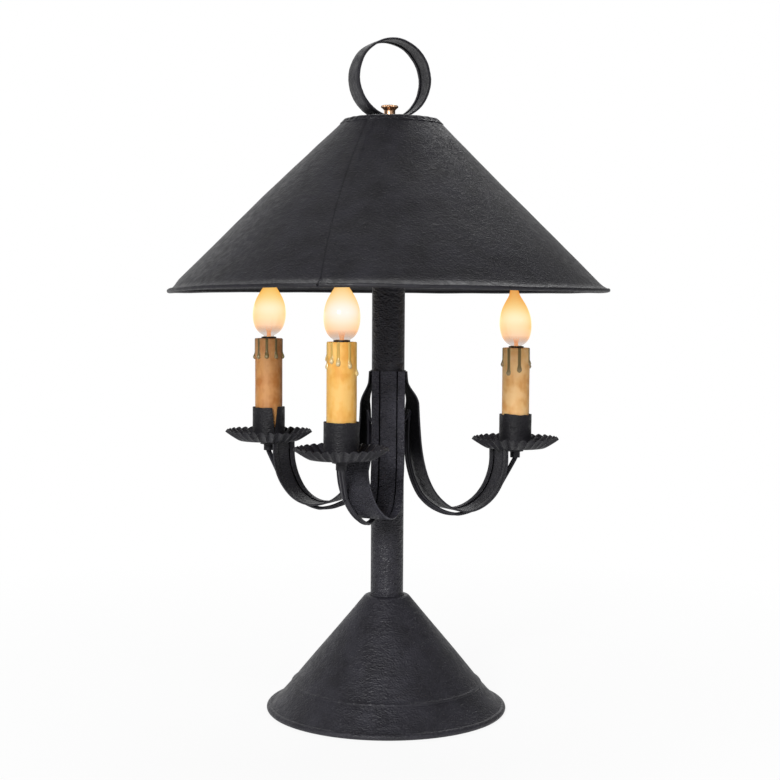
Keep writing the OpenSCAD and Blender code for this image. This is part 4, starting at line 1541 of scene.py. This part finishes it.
@dataclass
class Shade:
    """The cone shade with its lapped seam, wired lip and punched cap.

    Attributes:
        top_r: radius of the sheet's upper end, which is at top_z and top_aside to the right.
        flare: radius and height at which the sheet turns out to its lip.
        lip_r: radius of the roll's middle, which is at lip_z.
        most_r: the largest radius that a dent or wave may reach.
        roll_upper: how many points of the roll move with the outer face.
        seam_az: bearing of the seam at the lip, which leans by seam_lean at the top.
        lap: how far the sheet lies double at the seam.
        cap_z: height of the cap, whose collar runs down the sheet.
        punch_at: way down the sheet to the row of punch marks.
        centred_by: way down the sheet by which it stands over the post again.
    """

    top_r: float = 45.0
    top_z: float = 571.0
    top_aside: float = 2.0
    flare: Pair = (204.6, 413.6)
    lip_r: float = 210.1
    lip_z: float = 409.2
    most_r: float = 211.9
    roll_r: float = 1.9
    roll_upper: int = 10
    sheet: float = 0.6
    seam_az: float = -16.0
    seam_lean: float = -8.5
    lap: float = 8.0
    cap_z: float = 572.0
    collar: float = 6.0
    hole_r: float = 4.95
    punches: int = 36
    punch_depth: float = 1.5
    punch_r: float = 1.35
    punch_at: float = 3.2
    centred_by: float = 130.0
    cap_around: int = 600

    def __post_init__(self) -> None:
        """Works out the sheet's straight part: its upper end, length, and ways down and outwards."""
        self.top = Vector((self.top_r, self.top_z))
        slope = Vector(self.flare) - self.top
        self.length, self.down = slope.length, slope.normalized()
        self.out = Vector((-self.down.y, self.down.x))

    def outline(self) -> tuple[Ring, int]:
        """Gives the closed outline of sheet and roll, and how many points are its outer face.

        Returns:
            The outline and the number.
        """
        lip = (self.lip_r - 1.2, self.lip_z + self.roll_r - 0.25)
        line = softened([self.top, self.flare, lip], 2.2)
        under_cap = line[0].lerp(line[1], 10.0 / (line[1] - line[0]).length)
        outer = refine([line[0], under_cap], 0.8)[:-1] + refine([under_cap] + line[1:], 3.2)
        roll = arc((self.lip_r, self.lip_z), self.roll_r, 112.0, -205.0, 22)
        return outer[:-1] + roll + inward(outer, self.sheet)[-2::-1], len(outer) - 1

    def bearings(self) -> list[float]:
        """Gives the bearings of the sweep, closer together at the lap."""
        fine = [self.seam_az + off for off in (-0.9, -0.6, -0.4, -0.25, -0.12, -0.02, 0.02, 0.12, 0.3)]
        return sorted([k * 0.75 for k in range(-240, 240)] + fine)

    def aside(self, az: float, s: float) -> float:
        """Gives how far the sheet stands out because its upper end sits a little to the right."""
        return self.top_aside * math.sin(math.radians(az)) * max(1.0 - s / self.centred_by, 0.0)

    def build(self, finishes: Finishes) -> None:
        """Builds the shade and its cap.

        Args:
            finishes: the lamp's finishes.
        """
        profile, outer_count = self.outline()
        rings, painted_shade = [], []
        for az in self.bearings():
            ring = []
            for k, p in enumerate(profile):
                s = (p - self.top).length
                seen_az = az + self.seam_lean * max(1.0 - s / self.length, 0.0)
                dent = self.punch(seen_az, s, p.x)
                q = self.sheet_point(p, az, s, k < outer_count + self.roll_upper) - self.out * dent
                ring.append(bearing(seen_az) * q.x + UP * q.y)
                from_seam = math.radians(az - self.seam_az) * p.x
                # Painted shade in the punch marks and along the edge of the lap at the seam.
                held = max(dent / self.punch_depth, 0.35 * bump(from_seam, -0.4, 0.9))
                painted_shade.append(held if k < outer_count else 0.0)
            rings.append(ring)
        cone = Mesh("shade_cone_sheet").add(loft(rings, along=True), crevice=painted_shade)
        cone.dress("shade", finishes.tin, "shade_cone", "shade_rim_wire", corner=32.0)
        self.build_cap(finishes)

    def punch(self, az: float, s: float, r: float) -> float:
        """Gives the depth of the punch marks that lock cap and sheet together.

        Args:
            az: bearing in degrees.
            s: way down the sheet from its upper end.
            r: radius there.

        Returns:
            The depth in millimetres.
        """
        pitch = 360.0 / self.punches
        n = round(az / pitch)
        jog = 1.2 * drift(n * 3.3, 0.5, 0.0)
        sideways = math.radians(az - n * pitch - jog * 0.6) * r
        downwards = s - self.punch_at + jog
        off = (sideways / self.punch_r) ** 2 + (downwards / self.punch_r) ** 2
        return self.punch_depth * math.exp(-off)

    def sheet_point(self, p: Vector, az: float, s: float, outer: bool) -> Vector:
        """Moves a point of the outline by the dents, the lap and the waves of the lip.

        Args:
            p: the point in r and z.
            az: its bearing before the seam's lean.
            s: way down the sheet.
            outer: whether it lies on the outer face or the roll's upper half.

        Returns:
            The moved point in r and z.
        """
        length = self.length
        free = smooth(s, 6.0, 40.0) * (1.0 - 0.7 * smooth(s, length - 14.0, length))
        rise = free * (hand_wave(az, s, 70.0, 0.8, 1.3) + hand_wave(az * 3.0, s, 26.0, 0.22, 6.2))
        rise += 1.0 * bump(az, -90.0, 30.0) * bump(s, 0.5 * length, 0.3 * length)
        from_seam = math.radians(az - self.seam_az) * max(p.x, 1.0)
        lip = smooth(s, length - 6.0, length + 4.0)
        notch = 0.0
        if outer:
            lap = 1.0 - smooth(from_seam, self.lap - 3.0, self.lap + 2.0)
            crease = 0.3 * (1.0 - lip) * bump(from_seam, -0.5, 1.2)
            rise += 0.7 * lap if from_seam > 0.0 else -crease
            notch = -1.7 * lip * bump(from_seam, -0.5, 0.9)
        wave = 0.55 * hand_wave(az * 2.0, 0.0, 20.0, 1.0, 4.4)
        wave += 1.7 * bump(az, -12.0, 38.0) - 3.0 * bump(az, -90.0, 32.0)
        q = p + self.out * rise + Vector((self.aside(az, s), 0.0))
        return Vector((min(q.x + notch, self.most_r), q.y + wave * lip + notch))

    def build_cap(self, finishes: Finishes) -> None:
        """Builds the flat cap, its bent collar and the row of punch marks that hold it.

        Args:
            finishes: the lamp's finishes.
        """
        down, over = self.down, self.top + 0.65 * self.out
        flat = [(self.hole_r, self.cap_z), (over.x - 1.5, self.cap_z)]
        outer = refine(softened(flat + [over + 0.3 * down, over + self.collar * down], 1.3), 0.8)
        painted_shade: list[float] = []

        def shape(p: Vector, az: float, k: int) -> Vector:
            """Waves the cap's edge, presses its punch marks and notes the painted shade in them.

            Args:
                p: a point of the outline, in r and z.
                az: its bearing in degrees.
                k: its number in the outline.

            Returns:
                The moved point.
            """
            wave = smooth(p.x, 38.0, 45.0) * 0.45 * hand_wave(az * 4.0, 0.0, 10.0, 1.0, 2.2)
            moved = Vector((wave + self.aside(az, 0.0) * smooth(p.x, 8.0, 36.0), wave * 0.8))
            # Painted shade in the punch marks, and a faint trace of it over the cap's underside.
            mark = self.punch(az, (p - over).dot(down), p.x) * smooth(p.x, 40.0, 43.0)
            pressed = mark if k < len(outer) else 0.05
            painted_shade.append(pressed / self.punch_depth)
            return p - self.out * pressed + moved

        made = turned(outer + inward(outer, self.sheet)[::-1], self.cap_around, shape)
        cap = Mesh("shade_cap_punched").add(made, crevice=painted_shade)
        cap.dress("shade", finishes.tin, "shade_cap", corner=60.0)


@dataclass
class CarryRing:
    """The carrying ring, bent from strap that is hemmed along both edges."""

    radius: float = 38.1
    width: float = 25.4
    sheet: float = 1.1
    folded: float = 2.0
    hem: float = 4.2
    middle_z: float = 610.1
    az: float = 24.0
    around: int = 360

    def section(self) -> list[Pair]:
        """Gives the strap's outline as places across it and depths below its outer face.

        Returns:
            The pairs.
        """
        half, t, f = self.width / 2, self.sheet, self.folded
        edge = half - self.hem
        right = [
            (half - 0.5, 0.0), (half, 0.4), (half, f - 0.4), (half - 0.5, f), (edge + 0.3, f),
            (edge, f - 0.25), (edge + 0.5, t - 0.6), (edge - 0.7, t - 0.6), (edge - 1.1, t),
        ]
        left = [(-w, n) for w, n in reversed(right)]
        return [(w, 0.0) for w in (-6.0, 0.0, 6.0)] + right + [(w, t) for w in (5.0, 0.0, -5.0)] + left

    def build(self, finishes: Finishes) -> None:
        """Builds the ring a little out of round, with worn edges.

        Args:
            finishes: the lamp's finishes.
        """
        axis, flat = -bearing(self.az), across(self.az)
        section = self.section()
        rings = []
        for angle in evenly(self.around):
            up, side = -math.cos(math.radians(angle)), math.sin(math.radians(angle))
            free = smooth(1.0 + up, 0.05, 0.4)
            uneven = min(free * 0.5 * drift(side * 1.3, up * 1.3, 4.0), 0.0)
            ring = []
            for w, n in section:
                face = math.copysign(1.0, w)
                dent = free * 0.22 * drift(side * 4.0, up * 4.0, w / 8.0)
                edge = 0.0
                if abs(w) > self.width / 2 - self.hem - 0.1:
                    edge = 0.45 * drift(side * 3.0, up * 3.0, 5.0 * face)
                    edge += 0.35 * drift(side * 14.0, up * 14.0, 9.0 * face)
                r = self.radius - n + uneven + dent - 0.1
                over = UP * (self.middle_z + up * (r + 0.1))
                ring.append(flat * side * r + over + axis * (w + edge))
            rings.append(ring)
        # Painted shade: a dark line along each hem's edge on the ring, standing for the shade that the edge
        # casts.
        painted_shade = [1.0 if 0.45 < n < 0.55 and abs(w) < self.width / 2 - 2.0 else 0.0 for w, n in section]
        mesh = Mesh("ring_hoop_strap").add(loft(rings, along=True), crevice=painted_shade * len(rings))
        mesh.dress("ring", finishes.pan, "ring_hoop", corner=50.0)


@dataclass
class Knob:
    """The small turned knob with its knurled flange."""

    low: float = 574.87
    height: float = 10.4
    flange_r: float = 8.3
    waist_r: float = 5.4
    bore: float = 4.95
    teeth: int = 30
    around: int = 300

    def build(self, finishes: Finishes) -> None:
        """Builds the knob from its foot to the shallow dish in its top.

        Args:
            finishes: the lamp's finishes.
        """
        h, r, w = self.height, self.flange_r, self.waist_r
        foot = [(self.bore, 0.0), (w + 1.2, 0.0), (w + 1.2, 0.7), (w, 1.6)]
        neck = [(w, h - 4.6), (r - 0.9, h - 2.5), (r, h - 2.1), (r, h - 0.6), (r - 0.7, h)]
        dish = [(3.6, h), (2.9, h - 0.5), (0.1, h - 0.5)]
        inner = [Vector((0.1, h - 1.6)), Vector((self.bore, h - 1.6))]
        profile = refine(softened(foot + neck + dish, 0.35, 3), 0.6) + inner

        def shape(p: Vector, az: float, k: int) -> Vector:
            """Cuts the knurls and lifts the knob to its seat.

            Args:
                p: a point of the outline, in r and z.
                az: its bearing in degrees.
                k: not used.

            Returns:
                The moved point.
            """
            on = smooth(p.x, r - 1.0, r - 0.2) * smooth(p.y, h - 3.0, h - 2.2)
            cut = 0.38 * (0.5 + 0.5 * math.cos(math.radians(az) * self.teeth)) ** 1.6
            return Vector((p.x - on * cut, p.y + self.low))

        mesh = Mesh("finial_knob_turned").add(turned(profile, self.around, shape))
        mesh.dress("knob", finishes.brass, "finial_knob", corner=35.0, slot="aged_brass")
        dress_nodes(finishes.brass, "knob_washer")


# ---------------------------------------------------------------- setting


def seen_directly(tree: bpy.types.NodeTree, *kinds: str) -> bpy.types.NodeSocket:
    """Gives 1 for the named kinds of ray and 0 for the others.

    Args:
        tree: the tree that takes the nodes.
        *kinds: the kinds, by the names that the light path gives them.

    Returns:
        The socket that holds it.
    """
    path = add_node(tree, "LightPath")
    found = path.outputs[kinds[0]]
    for kind in kinds[1:]:
        found = add_node(tree, "Math", {0: found, 1: path.outputs[kind]}, operation="MAXIMUM").outputs[0]
    return found


@dataclass(frozen=True)
class Paper(Finish):
    """A matt paper sweep, which stays white to the eye and shows the lamp's shadow near it.

    Attributes:
        shadow_from: metres from the lamp at which the shadow starts to pale.
        shadow_to: metres from the lamp at which it has gone.
    """

    shadow_from: float = 0.2
    shadow_to: float = 0.9

    def build(self) -> bpy.types.Material:
        """Builds the paper, and lays plain white over it for what sees it directly.

        Returns:
            The material.
        """
        material = super().build()
        tree = material.node_tree
        seen = seen_directly(tree, "Is Camera Ray", "Is Glossy Ray", "Is Transmission Ray")
        # The paper shows its shadow near the lamp, and is plain white further out.
        where = add_node(tree, "TexCoord").outputs["Object"]
        far = add_node(tree, "VectorMath", {0: where}, operation="LENGTH").outputs["Value"]
        plain = {0: far, 1: self.shadow_from, 2: self.shadow_to, 3: 0.9, 4: 1.0}
        share = {0: seen, 1: add_node(tree, "MapRange", plain)}
        share = add_node(tree, "Math", share, operation="MULTIPLY")
        white = add_node(tree, "Emission", {"Color": "#ffffff", "Strength": 1.0})
        both = add_node(tree, "MixShader", {0: share, 1: tree.nodes["Principled BSDF"], 2: white})
        feed(tree.nodes["Material Output"], {"Surface": both})
        return material

    def coat(self, tree: bpy.types.NodeTree) -> dict[str, object]:
        """Gives the paper itself."""
        return {"Base Color": "#ffffff", "Roughness": 0.9}


@dataclass
class Studio:
    """The camera, the pale floor and the soft light.

    Attributes:
        distance: how far the camera stands in front of the post, with its height and its place aside.
        focal_px: its focal length, on a picture that is frame_px wide.
        pitch: how far it looks down, in radians, as roll is.
        room: how bright the room's dim side is.
        bright_side: where the room is white.
        aim: where the lamps point, in metres.
        lamps: name, place and size in metres, and watts of each lamp.
        floor_at: the floor's near left corner, with its size and the tiles along each side.
    """

    distance: float = 1468.3
    height: float = 396.0
    aside: float = 1.94
    focal_px: float = 1517.7
    frame_px: float = 780.0
    sensor_mm: float = 36.0
    pitch: float = 0.057
    roll: float = 0.006
    room: float = 0.13
    bright_side: Triple = (-0.33, 0.94, 0.0)
    aim: Triple = (0.0, 0.0, 0.3)
    floor_at: Triple = (-4000.0, -2500.0, -0.05)
    floor_size: Pair = (8000.0, 6500.0)
    floor_tiles: int = 24
    lamps: tuple[tuple[str, Triple, float, float], ...] = (
        ("key", (-1.1, -3.4, 1.65), 1.2, 126.0),
        ("fill", (2.4, -2.8, 1.9), 1.8, 18.0),
        ("back", (0.3, 2.2, 2.9), 1.8, 45.0),
    )

    def build(self) -> None:
        """Builds the camera, floor, world and lamps."""
        scene = bpy.context.scene
        data = bpy.data.cameras.new("camera")
        data.sensor_width = self.sensor_mm
        data.lens = self.sensor_mm * self.focal_px / self.frame_px
        data.clip_end = 50.0
        camera = bpy.data.objects.new("camera", data)
        scene.collection.objects.link(camera)
        ahead = Vector((0.0, math.cos(self.pitch), -math.sin(self.pitch)))
        right = Vector((1.0, 0.0, 0.0))
        turn = Matrix((right, right.cross(ahead), -ahead)).transposed().to_4x4()
        place_at = Matrix.Translation(Vector((self.aside, -self.distance, self.height)) * MM)
        camera.matrix_world = place_at @ turn @ Matrix.Rotation(self.roll, 4, "Z")
        scene.camera = camera
        self.build_floor()
        self.build_world()
        for name, where, size, watts in self.lamps:
            data = bpy.data.lights.new(name, "AREA")
            data.size = size
            data.energy = watts
            lamp = bpy.data.objects.new(name, data)
            scene.collection.objects.link(lamp)
            lamp.location = where
            lamp.rotation_euler = (Vector(self.aim) - Vector(where)).to_track_quat("-Z", "Y").to_euler()

    def build_floor(self) -> None:
        """Builds a pale floor, just under the lamp's foot."""
        (left, near, level), (wide, deep), n = self.floor_at, self.floor_size, self.floor_tiles
        rows = []
        for j in range(n + 1):
            y = near + deep * j / n
            rows.append([Vector((left + wide * k / n, y, level)) for k in range(n + 1)])
        floor = Mesh("floor").add(loft(rows, around=False)).build()
        floor.data.materials.append(Paper("paper_sweep").build())

    def build_world(self) -> None:
        """Builds the room, which is white behind the lamp and dim in front of it and to its right."""
        world = bpy.data.worlds.new("soft_room")
        bpy.context.scene.world = world
        world.use_nodes = True
        tree = world.node_tree
        seen = seen_directly(tree, "Is Camera Ray", "Is Transmission Ray")
        # Paint and metal mirror the room's white side.
        way = add_node(tree, "TexCoord").outputs["Generated"]
        depth = add_node(tree, "VectorMath", {0: way, 1: self.bright_side}, operation="DOT_PRODUCT")
        mirrored = add_node(tree, "MapRange", {0: depth.outputs["Value"], 1: 0.3, 2: 0.95})
        glossy = {0: seen_directly(tree, "Is Glossy Ray"), 1: mirrored}
        glossy = add_node(tree, "Math", glossy, operation="MULTIPLY")
        share = add_node(tree, "Math", {0: seen, 1: glossy}, operation="MAXIMUM")
        strength = add_node(tree, "MapRange", {0: share, 3: self.room, 4: 1.0})
        feed(tree.nodes["Background"], {"Color": "#ffffff", "Strength": strength})


def small_parts(finishes: Finishes) -> None:
    """Dresses the nipples and lampholders, whose own shape is right.

    Args:
        finishes: the lamp's finishes.
    """
    dress_nodes(finishes.tin, "nipples", "nipple_locknuts")
    for side in Side:
        dress_nodes(finishes.zinc, f"socket_leg_{side.value}")
        dress_nodes(finishes.phenolic, f"socket_body_{side.value}")
        dress_nodes(finishes.thread, f"screw_shell_{side.value}")


def main() -> None:
    """Builds the setting, then each sub-assembly in order."""
    logging.basicConfig(level=logging.INFO)
    bpy.context.scene.view_settings.view_transform = "Standard"
    Studio().build()
    finishes = Finishes()
    Base().build(finishes)
    Post().build(finishes)
    for light in LIGHTS:
        arm = StrapArm(light)
        arm.build(finishes)
        for part in (Cord(arm), DripPan(arm), CandleCup(arm), CandleSleeve(arm), Bulb(arm)):
            part.build(finishes)
    small_parts(finishes)
    Shade().build(finishes)
    CarryRing().build(finishes)
    Knob().build(finishes)


if __name__ == "__main__":
    main()
